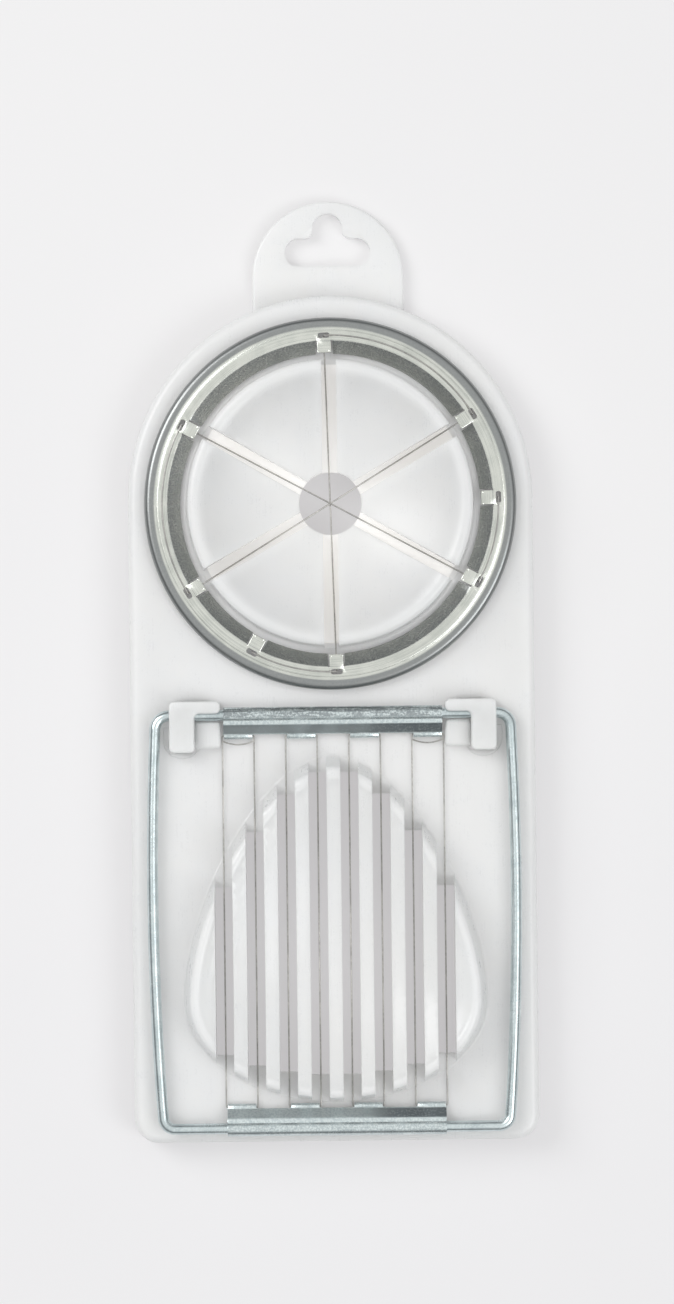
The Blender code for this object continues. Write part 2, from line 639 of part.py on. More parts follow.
def make_ring(material):
    ring = turned("wedge_ring", thick_path(ring_section(), RING_SHEET), (0.0, CUP_Y), 60, smooth=35)
    chord_ends, anchors = lug_angles()
    about = (0.0, CUP_Y)
    land_low = LAND_TOP - RING_SHEET
    half = RING_LUG_WIDTH / 2
    eye_near = RING_EYE_RADIUS - RING_EYE_DEPTH / 2
    cut, lugs = [], []
    for k, angle in enumerate(chord_ends + anchors):
        place = {"turn": angle + RING_TURN, "about": about, "helper": True}
        cut.append(block(f"lip_notch_{k + 1}", (RING_LIP_RADIUS - GAP, CUP_Y - half - GAP, DECK_HEIGHT - GAP),
                         (RING_LAND_RADIUS + RING_SHEET / 4, CUP_Y + half + GAP, LAND_TOP + GAP), **place))
        cut.append(block(f"eye_{k + 1}", (eye_near, CUP_Y - RING_EYE_WIDTH / 2, land_low - GAP),
                         (eye_near + RING_EYE_DEPTH, CUP_Y + RING_EYE_WIDTH / 2, LAND_TOP + GAP), **place))
        lugs.append(block(f"lug_{k + 1}", (RING_LIP_RADIUS, CUP_Y - half, land_low + RING_SHEET / 10),
                          (RING_LAND_RADIUS + RING_SHEET, CUP_Y + half, LAND_TOP - RING_SHEET / 10), **place))
    combine(ring, cut, "DIFFERENCE")
    combine(ring, lugs, "UNION")
    ring.data.materials.append(material)
    return ring


def on_ring(radius, angle, z):
    turn = angle + RING_TURN
    return (radius * math.cos(turn), CUP_Y + radius * math.sin(turn), z)


def wedge_wire_path():
    """One wire: anchor, along the land, then chord, land, chord, land, chord, land, anchor."""
    chord_ends, anchors = lug_angles()
    above = LAND_TOP + WIRE_RADIUS + RING_SHEET / 4
    under = LAND_TOP - RING_SHEET - WIRE_RADIUS - RING_SHEET / 4
    middle = LAND_TOP - CHORD_DROP

    def dive(angle, rising):
        down = [on_ring(RING_EYE_RADIUS, angle, above), on_ring(RING_EYE_RADIUS - WIRE_RADIUS, angle, under),
                on_ring(RING_LIP_RADIUS, angle, under - WIRE_RADIUS)]
        return down[::-1] if rising else down

    def along(start, end):
        count = max(2, round(abs(end - start) / math.radians(10)))
        stops = [start + (end - start) * k / count for k in range(count + 1)]
        return [on_ring(RING_EYE_RADIUS, angle, above) for angle in stops[1:-1]]

    order = [(4, 1, -1), (0, 3, 0), (2, 5, 1)]
    full = 2 * math.pi
    path = [on_ring(RING_EYE_RADIUS - WIRE_RADIUS, anchors[0], under),
            on_ring(RING_EYE_RADIUS, anchors[0], above)]
    previous = anchors[0]
    for start, end, level in order:
        first, last = chord_ends[start], chord_ends[end]
        if abs(first - previous) > math.pi:
            previous += full if previous < first else -full
        path += along(previous, first) + dive(first, False)
        path.append((0.0, CUP_Y, middle + level * CHORD_STEP))
        path += dive(last, True)
        previous = last
    anchor = anchors[1] + full
    path += along(previous, anchor)
    path += [on_ring(RING_EYE_RADIUS, anchor, above), on_ring(RING_EYE_RADIUS - WIRE_RADIUS, anchor, under)]
    return path


def make_wedge_wire(material):
    wire = tube("wedge_wire", wedge_wire_path(), WIRE_RADIUS, 8, closed=False)
    wire.data.materials.append(material)
    return wire


def main():
    clear_scene()
    white = make_material("white_plastic", WHITE, 0.32, 0.0)
    clip_white = make_material("clip_plastic", CLIP_WHITE, 0.38, 0.0)
    zinc = make_material("zinc_plate", ZINC, 0.28, 1.0)
    tin = make_material("tin_plate", TIN, 0.24, 1.0)
    wire = make_material("steel_wire", WIRE_GREY, 0.35, 1.0)
    make_base(white)
    make_clip(-1, "left", clip_white)
    make_clip(1, "right", clip_white)
    make_frame(zinc, wire)
    make_ring(tin)
    make_wedge_wire(wire)


main()
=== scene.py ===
import bpy
import bmesh
import json
import math
from mathutils import Matrix, Vector

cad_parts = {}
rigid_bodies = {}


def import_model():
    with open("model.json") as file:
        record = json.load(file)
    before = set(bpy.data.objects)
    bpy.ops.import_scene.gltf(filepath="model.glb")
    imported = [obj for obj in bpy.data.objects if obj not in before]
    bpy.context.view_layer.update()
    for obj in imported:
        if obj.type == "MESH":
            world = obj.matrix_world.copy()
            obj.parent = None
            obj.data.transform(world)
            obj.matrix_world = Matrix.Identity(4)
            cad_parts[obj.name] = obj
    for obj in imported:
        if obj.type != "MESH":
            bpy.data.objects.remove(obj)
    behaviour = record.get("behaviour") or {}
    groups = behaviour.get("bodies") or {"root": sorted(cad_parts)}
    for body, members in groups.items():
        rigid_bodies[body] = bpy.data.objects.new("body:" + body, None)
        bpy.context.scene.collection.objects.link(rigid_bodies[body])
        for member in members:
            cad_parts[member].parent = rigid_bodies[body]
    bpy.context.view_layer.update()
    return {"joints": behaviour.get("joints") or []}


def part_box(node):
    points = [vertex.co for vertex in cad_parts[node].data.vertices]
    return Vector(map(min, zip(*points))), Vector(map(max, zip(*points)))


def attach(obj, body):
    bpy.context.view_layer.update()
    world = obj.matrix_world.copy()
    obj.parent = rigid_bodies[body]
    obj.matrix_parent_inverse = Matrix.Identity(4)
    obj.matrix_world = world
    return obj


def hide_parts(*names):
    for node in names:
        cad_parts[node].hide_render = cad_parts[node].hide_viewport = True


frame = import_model()

mm = 0.001
fullTurn = 2 * math.pi
halfTurn = math.pi
quarterTurn = math.pi / 2

# places that every piece is set out from
baseLow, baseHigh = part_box("base")
rodLow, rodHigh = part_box("frame_rod")
ringLow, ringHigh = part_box("wedge_ring")
axisY, axisZ = [joint for joint in frame["joints"] if joint["name"] == "frame_hinge"][0]["pos_m"][1:]
gap = 0.3 * mm                                # between pieces that rest on each other
deckZ = ringLow.z - gap
cupY = (ringLow.y + ringHigh.y) / 2
endY = cupY + 1.2 * mm                        # centre of the half-round end
rodRadius = (rodHigh.z - rodLow.z) / 2
freeRodY = rodLow.y + rodRadius
print("frame loaded, deck at", round(deckZ / mm, 2), "mm")


# small modelling helpers

def vertsIn(geom):
    return [item for item in geom if isinstance(item, bmesh.types.BMVert)]


def edgesIn(geom):
    return [item for item in geom if isinstance(item, bmesh.types.BMEdge)]


def arcFrom(bm, vert, centre, angle, steps, axis=(0, 0, 1)):
    swept = bmesh.ops.spin(bm, geom=[vert], cent=centre, axis=axis, angle=angle, steps=steps)
    return vertsIn(swept["geom_last"])[0]


def lineTo(bm, vert, place):
    following = bm.verts.new(place)
    bm.edges.new((vert, following))
    return following


def arcLoop(bm, arcs):
    # arcs of (start, centre, angle, steps), joined end to start by straight edges
    ends = []
    for place, centre, angle, steps in arcs:
        first = bm.verts.new(place)
        ends.append((first, arcFrom(bm, first, centre, angle, steps)))
    for (_, last), (following, _) in zip(ends, ends[1:] + ends[:1]):
        if (last.co - following.co).length > gap / 100:
            bm.edges.new((last, following))
    bmesh.ops.remove_doubles(bm, verts=bm.verts, dist=gap / 50)
    return bm.edges[:]


def climb(bm, loop, levels, centre):
    # carries a loop upwards through levels of (width share, length share, height)
    bmesh.ops.edgeloop_fill(bm, edges=loop)
    shareX, shareY, height = levels[0]
    for nextX, nextY, nextHeight in levels[1:]:
        made = bmesh.ops.extrude_edge_only(bm, edges=loop)["geom"]
        verts = vertsIn(made)
        loop = [edge for edge in edgesIn(made) if edge.is_boundary]
        bmesh.ops.scale(bm, vec=(nextX / shareX, nextY / shareY, 1), verts=verts,
                        space=Matrix.Translation(-Vector(centre)))
        bmesh.ops.translate(bm, vec=(0, 0, nextHeight - height), verts=verts)
        shareX, shareY, height = nextX, nextY, nextHeight
    bmesh.ops.edgeloop_fill(bm, edges=loop)
    return loop


def prism(bm, loop, low, high):
    bmesh.ops.translate(bm, vec=(0, 0, low), verts=bm.verts)
    return climb(bm, loop, [(1, 1, low), (1, 1, high)], (0, 0, 0))


def roundOff(bm, edges, radius, segments):
    bmesh.ops.bevel(bm, geom=edges, offset=radius, offset_type="OFFSET", segments=segments,
                    profile=0.5, affect="EDGES", material=-1, clamp_overlap=True)


def block(low, high, turn=0.0, about=(0, 0, 0), radius=0.0, segments=3):
    bm = bmesh.new()
    low, high = Vector(low), Vector(high)
    bmesh.ops.create_cube(bm, size=1)
    bmesh.ops.scale(bm, vec=high - low, verts=bm.verts)
    bmesh.ops.translate(bm, vec=(low + high) / 2, verts=bm.verts)
    if radius:
        roundOff(bm, bm.edges[:], radius, segments)
    if turn:
        bmesh.ops.rotate(bm, cent=about, matrix=Matrix.Rotation(turn, 3, "Z"), verts=bm.verts)
    return bm


def turned(bm, centre, steps):
    # a full turn of the profile that stands in the plane of X and Z
    bmesh.ops.spin(bm, geom=bm.verts[:] + bm.edges[:], cent=(0, 0, 0), axis=(0, 0, 1),
                   angle=fullTurn, steps=steps, use_merge=True)
    bmesh.ops.translate(bm, vec=(centre[0], centre[1], 0), verts=bm.verts)
    return bm


def newObject(name, bm):
    bmesh.ops.remove_doubles(bm, verts=bm.verts, dist=gap / 300)
    bmesh.ops.triangulate(bm, faces=[face for face in bm.faces if len(face.verts) > 4])
    bmesh.ops.recalc_face_normals(bm, faces=bm.faces)
    mesh = bpy.data.meshes.new(name)
    bm.to_mesh(mesh)
    bm.free()
    made = bpy.data.objects.new(name, mesh)
    bpy.context.scene.collection.objects.link(made)
    return made


def settle(piece):
    # turns the live modifiers into the mesh itself
    graph = bpy.context.evaluated_depsgraph_get()
    mesh = bpy.data.meshes.new_from_object(piece.evaluated_get(graph))
    piece.modifiers.clear()
    if piece.type == "MESH":
        piece.data = mesh
        return piece
    flat = bpy.data.objects.new(piece.name + "_mesh", mesh)
    bpy.context.scene.collection.objects.link(flat)
    bpy.data.objects.remove(piece)
    return flat


def takeMesh(piece):
    # the piece's mesh, free to edit; the piece itself goes
    bm = bmesh.new()
    bm.from_mesh(piece.data)
    bpy.data.objects.remove(piece)
    return bm


def shapeWith(piece, tools, operation):
    # adds or cuts away all the tools in one go
    group = bpy.data.collections.new(piece.name + operation)
    bpy.context.scene.collection.children.link(group)
    for count, bm in enumerate(tools):
        tool = newObject(f"{piece.name}Tool{count}", bm)
        bpy.context.scene.collection.objects.unlink(tool)
        group.objects.link(tool)
    step = piece.modifiers.new(operation, "BOOLEAN")
    step.operation = operation
    step.solver = "EXACT"
    step.operand_type = "COLLECTION"
    step.collection = group
    settle(piece)
    for tool in list(group.objects):
        bpy.data.objects.remove(tool)
    bpy.data.collections.remove(group)
    return piece


def cleanFaces(piece):
    # splits the many-sided faces that the cuts leave, so that each stays flat
    bm = bmesh.new()
    bm.from_mesh(piece.data)
    bmesh.ops.triangulate(bm, faces=[face for face in bm.faces if len(face.verts) > 4],
                          quad_method="BEAUTY", ngon_method="BEAUTY")
    bm.to_mesh(piece.data)
    bm.free()
    return piece


def softenEdges(piece, radius, segments, angle):
    step = piece.modifiers.new("soften", "BEVEL")
    step.width = radius
    step.segments = segments
    step.limit_method = "ANGLE"
    step.angle_limit = math.radians(angle)
    step.use_clamp_overlap = True
    step.miter_outer = "MITER_ARC"
    return settle(piece)


def thicken(piece, thickness):
    step = piece.modifiers.new("sheet", "SOLIDIFY")
    step.thickness = thickness
    step.offset = 0
    step.use_even_offset = True
    return settle(piece)


def finishPiece(piece, body, node, finish, sharp=35):
    piece.data.shade_smooth()
    piece.data.set_sharp_from_angle(angle=math.radians(sharp))
    piece.data.materials.clear()
    piece.data.materials.append(finish)
    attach(piece, body)
    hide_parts(node)
    bm = bmesh.new()
    bm.from_mesh(piece.data)
    openEdges = len([edge for edge in bm.edges if not edge.is_manifold])
    triangles = sum(len(face.verts) - 2 for face in bm.faces)
    bm.free()
    print(piece.name, "done:", triangles, "triangles,", openEdges, "open edges")
    return piece


def tube(name, points, radius, sides, closed):
    curve = bpy.data.curves.new(name, "CURVE")
    curve.dimensions = "3D"
    curve.bevel_depth = radius
    curve.bevel_resolution = sides // 2 - 2
    curve.use_fill_caps = not closed
    spline = curve.splines.new("POLY")
    spline.points.add(len(points) - 1)
    for spot, point in zip(spline.points, points):
        spot.co = (*point, 1)
    spline.use_cyclic_u = closed
    path = bpy.data.objects.new(name + "Path", curve)
    bpy.context.scene.collection.objects.link(path)
    return newObject(name, takeMesh(settle(path)))


def arcPoints(centre, radius, first, last, steps):
    angles = [first + (last - first) * k / steps for k in range(steps + 1)]
    return [Vector((centre[0] + radius * math.cos(a), centre[1] + radius * math.sin(a))) for a in angles]


# finishes

def feed(socket, value):
    if isinstance(value, Signal):
        socket.id_data.links.new(value.socket, socket)
    else:
        socket.default_value = value


def addNode(nodes, kind, settings, values):
    # settings, such as an operation or a ramp's stops, go in before the sockets
    made = nodes.new(kind)
    for key, value in settings.items():
        if key == "stops":
            elements = made.color_ramp.elements
            for spot, (position, tone) in zip(elements, value):
                spot.position, spot.color = position, tone
            for position, tone in value[2:]:
                elements.new(position).color = tone
        else:
            setattr(made, key, value)
    for key, value in values.items():
        feed(made.inputs[key], value)
    return made


class Signal:
    def __init__(self, socket):
        self.socket = socket

    def combine(self, operation, first, second):
        values = {0: first, 1: second}
        node = addNode(self.socket.id_data.nodes, "ShaderNodeMath", {"operation": operation}, values)
        return Signal(node.outputs[0])

    def __add__(self, other):
        return self.combine("ADD", self, other)

    def __radd__(self, other):
        return self.combine("ADD", other, self)

    def __sub__(self, other):
        return self.combine("SUBTRACT", self, other)

    def __rsub__(self, other):
        return self.combine("SUBTRACT", other, self)

    def __mul__(self, other):
        return self.combine("MULTIPLY", self, other)

    def __rmul__(self, other):
        return self.combine("MULTIPLY", other, self)

    def __pow__(self, other):
        return self.combine("POWER", self, other)


class Finish:
    def __init__(self, name, fixed):
        self.material = bpy.data.materials.new(name)
        self.material.use_nodes = True
        self.nodes = self.material.node_tree.nodes
        self.surface = self.nodes["Principled BSDF"]
        for socket, value in fixed.items():
            self.surface.inputs[socket].default_value = value
        self.place = self.node("ShaderNodeTexCoord", {}, {}, "Object")

    def node(self, kind, settings, values, output=0):
        return Signal(addNode(self.nodes, kind, settings, values).outputs[output])

    def axes(self, where):
        parts = addNode(self.nodes, "ShaderNodeSeparateXYZ", {}, {0: where})
        return [Signal(output) for output in parts.outputs]

    def noise(self, size, detail=2.0, where=None):
        # soft noise whose lumps are about size across, in metres
        values = {"Scale": 1 / size, "Detail": detail, "Vector": where or self.place}
        return self.node("ShaderNodeTexNoise", {}, values)

    def spread(self, value, low, high, newLow=0.0, newHigh=1.0):
        values = {"Value": value, "From Min": low, "From Max": high, "To Min": newLow, "To Max": newHigh}
        return self.node("ShaderNodeMapRange", {"interpolation_type": "SMOOTHSTEP"}, values)

    def blend(self, factor, first, second):
        # the colour sockets of a Mix node are its inputs 6 and 7 and its output 2
        return self.node("ShaderNodeMix", {"data_type": "RGBA"}, {0: factor, 6: first, 7: second}, 2)

    def bump(self, height, depth, strength=1.0, under=None):
        values = {"Height": height, "Distance": depth, "Strength": strength}
        if under:
            values["Normal"] = under
        return self.node("ShaderNodeBump", {}, values)

    def give(self, **links):
        names = {"colour": "Base Color", "roughness": "Roughness", "normal": "Normal", "glow": "Emission Color"}
        for key, value in links.items():
            feed(self.surface.inputs[names[key]], value)
        return self.material


plastic = {
    "tone": (0.815, 0.82, 0.82, 1), "warmTone": (0.83, 0.828, 0.815, 1), "clipTone": (0.90, 0.91, 0.905, 1),
    "roughness": 0.30, "grain": 0.35, "grainDepth": 0.004, "swirl": 22.0, "scratch": 0.12,
    # the emission strength, glow colour and radius below paint a faint glow on the wedge slot floors
    "through": 0.25, "glow": (0.90, 0.865, 0.82, 1), "scatter": 0.75, "scatterDepth": 8.0, "thinRadius": 28.9,
}


def mouldedPlastic(name, tone, otherTone):
    finish = Finish(name, {"IOR": 1.49, "Emission Strength": plastic["through"],
                           "Subsurface Weight": plastic["scatter"],
                           "Subsurface Scale": plastic["scatterDepth"] * mm,
                           "Subsurface Radius": (1.0, 1.0, 1.0)})
    cloud = finish.noise(plastic["swirl"] * mm, 3.0)
    flow = finish.noise(plastic["swirl"] * mm / 6, 4.0)
    colour = finish.blend(finish.spread(cloud * 0.7 + flow * 0.3, 0.35, 0.65), tone, otherTone)
    grain = finish.noise(plastic["grain"] * mm, 2.0)
    streakPlace = finish.node("ShaderNodeMapping", {}, {"Vector": finish.place, "Scale": (9.0, 0.35, 1.0)})
    streak = finish.noise(2.2 * mm, 5.0, streakPlace)
    rough = plastic["roughness"] + (grain - 0.5) * 0.10 + (flow - 0.5) * 0.08
    rough = rough + (streak - 0.5) * plastic["scratch"]
    # painted glow: the floors of the wedge slots glow faintly, standing in for light let through the plastic
    # from below
    across, along, height = finish.axes(finish.place)
    along = along - cupY
    radius = (across * across + along * along) ** 0.5
    level = finish.spread(height, deckZ - 0.2 * mm, deckZ)
    level = level * (1 - finish.spread(height, deckZ + 0.3 * mm, deckZ + 4 * mm))
    slotGlowMask = level * (1 - finish.spread(radius, (plastic["thinRadius"] - 0.5) * mm, plastic["thinRadius"] * mm))
    glow = finish.blend(slotGlowMask, (0, 0, 0, 1), plastic["glow"])
    wave = finish.bump(cloud, 0.05 * mm, 0.5)
    fine = finish.bump(grain, plastic["grainDepth"] * mm, 0.7, wave)
    return finish.give(colour=colour, roughness=rough, normal=fine, glow=glow)


zinc = {
    "bright": (0.70, 0.775, 0.785, 1), "dull": (0.56, 0.635, 0.65, 1), "roughness": 0.20,
    "speckle": 0.33, "speckleDepth": 0.002, "mottle": 3.0,
}


def zincPlate(name):
    finish = Finish(name, {"Metallic": 1.0})
    speckle = finish.noise(zinc["speckle"] * mm, 3.0)
    mottle = finish.noise(zinc["mottle"] * mm, 4.0)
    wear = finish.noise(9 * mm, 3.0)
    dullness = finish.spread(speckle * 0.45 + mottle * 0.55, 0.40, 0.62)
    colour = finish.blend(dullness, zinc["bright"], zinc["dull"])
    rough = zinc["roughness"] + speckle * 0.10 + (wear - 0.5) * 0.14
    lumps = finish.bump(mottle, 0.004 * mm, 0.6)
    fine = finish.bump(speckle, zinc["speckleDepth"] * mm, 0.8, lumps)
    return finish.give(colour=colour, roughness=rough, normal=fine)


# dark is the scuff along the fold; the flange colour is a painted dark reflection on the slope before the lugs
fold = {"dark": (0.17, 0.185, 0.20, 1), "flange": (0.21, 0.235, 0.25, 1), "bright": (0.74, 0.81, 0.81, 1)}


def foldedZinc(name, rodY, inwards, worn):
    # the coating is scuffed dark along the fold; the slope that leads to the lugs is painted dark with light
    # specks, a painted dark reflection
    finish = Finish(name, {"Metallic": 1.0})
    across, along, _ = finish.axes(finish.place)
    reach = (along - rodY) * inwards
    stretched = finish.node("ShaderNodeMapping", {}, {"Vector": finish.place, "Scale": (0.12, 1.0, 1.0)})
    streak = finish.noise(0.4 * mm, 4.0, stretched)
    speckle = finish.noise(0.4 * mm, 3.0)
    mottle = finish.noise(2.5 * mm, 4.0)
    slope = finish.spread(reach, 1.9 * mm, 2.1 * mm) * (1 - finish.spread(reach, 3.75 * mm, 3.95 * mm))
    scuff = finish.spread(streak * 0.4 + speckle * 0.3 + mottle * 0.3, 0.42, 0.55)
    crown = (1 - finish.spread(reach, 0.35 * mm, 0.7 * mm)) * scuff
    plain = finish.blend(finish.spread(speckle, 0.4, 0.65), fold["bright"], zinc["dull"])
    scuffed = finish.blend(crown * worn, plain, fold["dark"])
    # painted dark reflection on the slope, stronger towards +X
    darkReflectionStrength = finish.spread(across, 3 * mm, 13 * mm, worn, 0.92)
    fleck = 1.05 - finish.spread(speckle, 0.5, 0.66) * 0.4
    colour = finish.blend(slope * darkReflectionStrength * fleck, scuffed, fold["flange"])
    rough = zinc["roughness"] + speckle * 0.12 + slope * 0.08
    lumps = finish.bump(streak, 0.02 * mm, 0.7)
    fine = finish.bump(speckle, 0.01 * mm, 0.7, lumps)
    return finish.give(colour=colour, roughness=rough, normal=fine)


tin = {
    # dark is the colour of a painted dark reflection on the lip and the outer curl
    "bright": (0.74, 0.755, 0.70, 1), "dull": (0.60, 0.62, 0.575, 1), "dark": (0.25, 0.26, 0.265, 1),
    "roughness": 0.17, "line": 0.16, "speckle": 0.30, "lipFrom": 33.65, "rimFrom": 36.1,
}


def tinPlate(name):
    finish = Finish(name, {"Metallic": 1.0})
    centred = finish.node("ShaderNodeMapping", {}, {"Vector": finish.place, "Location": (0, -cupY, 0)})
    across, along, height = finish.axes(centred)
    radius = (across * across + along * along) ** 0.5
    angle = finish.node("ShaderNodeMath", {"operation": "ARCTAN2"}, {0: along, 1: across})
    polar = finish.node("ShaderNodeCombineXYZ", {}, {0: radius * (1 / (tin["line"] * mm)), 1: angle * 1.5})
    lines = finish.node("ShaderNodeTexNoise", {"noise_dimensions": "2D"},
                        {"Vector": polar, "Scale": 1.0, "Detail": 3.0})
    speckle = finish.noise(tin["speckle"] * mm, 3.0)
    mottle = finish.noise(4 * mm, 3.0)
    fromSlope = height - (deckZ + 2.5 * mm) - (radius - tin["lipFrom"] * mm) * 0.8
    # painted dark reflection on the sloped lip
    lip = 1 - finish.spread(radius, (tin["lipFrom"] - 0.25) * mm, tin["lipFrom"] * mm)
    lip = lip * (1 - finish.spread(fromSlope, 0.25 * mm, 0.5 * mm))
    lip = lip * (0.62 + 0.6 * finish.spread(speckle, 0.3, 0.6))
    # painted dark reflection on the outer rolled curl
    rim = finish.spread(radius, tin["rimFrom"] * mm, (tin["rimFrom"] + 0.35) * mm)
    paintedReflectionZones = lip + rim                                   # lip and outer curl: painted dark reflection, and rougher plate there
    plain = finish.blend(finish.spread(mottle * 0.5 + lines * 0.5, 0.4, 0.62), tin["bright"], tin["dull"])
    colour = finish.blend(paintedReflectionZones * (0.72 + speckle * 0.30), plain, tin["dark"])
    rough = tin["roughness"] + lines * 0.10 + paintedReflectionZones * 0.10 + (mottle - 0.5) * 0.08
    drawn = finish.bump(lines, 0.006 * mm, 0.7)
    fine = finish.bump(speckle, 0.008 * mm, 0.6, drawn)
    return finish.give(colour=colour, roughness=rough, normal=fine)


steel = {"bright": (0.58, 0.565, 0.54, 1), "dull": (0.40, 0.39, 0.375, 1), "roughness": 0.38, "radius": 0.16}


def drawnWire(name):
    finish = Finish(name, {"Metallic": 1.0})
    stain = finish.noise(5 * mm, 4.0)
    fleck = finish.noise(0.5 * mm, 3.0)
    colour = finish.blend(finish.spread(stain * 0.6 + fleck * 0.4, 0.38, 0.62), steel["bright"], steel["dull"])
    rough = steel["roughness"] + (fleck - 0.5) * 0.2
    return finish.give(colour=colour, roughness=rough, normal=finish.bump(fleck, 0.004 * mm, 0.6))


whitePlastic = mouldedPlastic("whitePlastic", plastic["tone"], plastic["warmTone"])
clipPlastic = mouldedPlastic("clipPlastic", plastic["clipTone"], plastic["warmTone"])
zincFinish = zincPlate("zincPlate")
tinFinish = tinPlate("tinPlate")
wireFinish = drawnWire("steelWire")
print("finishes mixed")


# base moulding, with its two cups and the hanging tab

base = {
    "corner": 5.0, "deckThickness": 2.0, "skirtWall": 2.0, "draft": 0.4, "edgeRound": 1.5, "rimRound": 0.5,
    "innerRound": 1.0, "tabRadius": 15.7, "tabThickness": 3.0, "tabRound": 0.6, "hangLength": 17.7,
    "hangWidth": 5.8, "peakWidth": 6.2, "peakRise": 8.0, "hangBridge": 2.5,
}
cup = {
    "radius": 29.5, "height": 12.0, "rim": 2.4, "rise": 3.6, "wall": 2.0, "hub": 6.45, "slot": 3.0,
    "cuts": 3, "firstAngle": 30.0, "foot": 0.7, "steps": 128, "bowlSteps": 28, "pocketSteps": 10,
}
drop = {
    "halfWidth": 31.0, "tail": 20.6, "nose": 50.0, "shoulder": 20.0, "noseWidth": 14.0, "endGap": 8.9,
    "height": 10.5, "rim": 2.4, "rise": 2.6, "bowlShift": 8.0, "lean": 1.2, "foot": 0.7, "slot": 3.7,
    "slotFloor": 0.15, "openHalfWidth": 33.0, "openTail": 15.4, "noseWall": 1.8, "bowlSteps": 22,
    "bowlReach": 0.97,
}
dropY = baseLow.y + (drop["endGap"] + drop["tail"]) * mm
bowlY = dropY + drop["bowlShift"] * mm
tabY = baseHigh.y - base["tabRadius"] * mm
hangY = baseHigh.y - (base["hangBridge"] + base["peakRise"]) * mm
loopNumbers = (1, 2, 3, 4)
wireX = []                                    # the runs of slicing wire, from the left
for number in loopNumbers:
    wireLow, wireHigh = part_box(f"slicing_wire_{number}")
    wireRadius = (wireHigh.z - wireLow.z) / 2
    wireX += [wireLow.x + wireRadius, wireHigh.x - wireRadius]
wireZ = (wireLow.z + wireHigh.z) / 2


def planLoop(bm, inset):
    half = baseHigh.x - inset
    corner = base["corner"] * mm - inset
    low = baseLow.y + inset + corner
    return arcLoop(bm, [((half, endY, 0), (0, endY, 0), halfTurn, 96),
                        ((-half, low, 0), (corner - half, low, 0), quarterTurn, 10),
                        ((half - corner, low - corner, 0), (half - corner, low, 0), quarterTurn, 10)])


def shellBody():
    bm = bmesh.new()
    middle = (0, (baseLow.y + cupY + baseHigh.x) / 2, 0)
    lean = 1 - base["draft"] * mm / baseHigh.x
    top = climb(bm, planLoop(bm, 0), [(1, 1, 0), (lean, (1 + lean) / 2, deckZ)], middle)
    roundOff(bm, top, base["edgeRound"] * mm, 6)
    bottom = [edge for edge in bm.edges if max(vert.co.z for vert in edge.verts) < gap / 100]
    roundOff(bm, bottom, base["rimRound"] * mm, 3)
    return bm


def hollowTool():
    bm = bmesh.new()
    middle = (0, (baseLow.y + cupY + baseHigh.x) / 2, 0)
    inside = baseHigh.x - base["skirtWall"] * mm
    lean = 1 - base["draft"] * mm / inside
    planLoop(bm, base["skirtWall"] * mm)
    bmesh.ops.translate(bm, vec=(0, 0, -gap), verts=bm.verts)
    under = deckZ - base["deckThickness"] * mm
    top = climb(bm, bm.edges[:], [(1, 1, -gap), (lean, (1 + lean) / 2, under)], middle)
    roundOff(bm, top, base["innerRound"] * mm, 4)
    return bm


def tabBody():
    bm = bmesh.new()
    radius = base["tabRadius"] * mm
    neck = cupY + baseHigh.x / 2
    loop = arcLoop(bm, [((radius, tabY, 0), (0, tabY, 0), halfTurn, 64),
                        ((-radius, neck, 0), (0, neck, 0), 0, 1),
                        ((radius, neck, 0), (0, neck, 0), 0, 1)])
    prism(bm, loop, 0, base["tabThickness"] * mm)
    rims = [edge for edge in bm.edges if abs(edge.verts[0].co.z - edge.verts[1].co.z) < gap / 100]
    roundOff(bm, rims, base["tabRound"] * mm, 4)
    return bm


def hangTool():
    bm = bmesh.new()
    radius = base["hangWidth"] / 2 * mm
    reach = base["hangLength"] / 2 * mm - radius
    peak = base["peakWidth"] / 2 * mm
    fillet = 1.5 * mm
    peakY = hangY + base["peakRise"] * mm - peak
    shelf = hangY + radius
    arcs = [((reach, hangY - radius, 0), (reach, hangY, 0), halfTurn, 20),
            ((peak + fillet, shelf, 0), (peak + fillet, shelf + fillet, 0), -quarterTurn, 8),
            ((peak, peakY, 0), (0, peakY, 0), halfTurn, 24),
            ((-peak, shelf + fillet, 0), (-peak - fillet, shelf + fillet, 0), -quarterTurn, 8),
            ((-reach, shelf, 0), (-reach, hangY, 0), halfTurn, 20)]
    prism(bm, arcLoop(bm, arcs), -gap, base["tabThickness"] * mm + gap)
    return bm


def bowlHeight(radius):
    rim = cup["radius"] - cup["rim"]
    share = (radius ** 2 - cup["hub"] ** 2) / (rim ** 2 - cup["hub"] ** 2)
    return deckZ + (cup["rise"] + (cup["height"] - cup["rise"]) * share) * mm


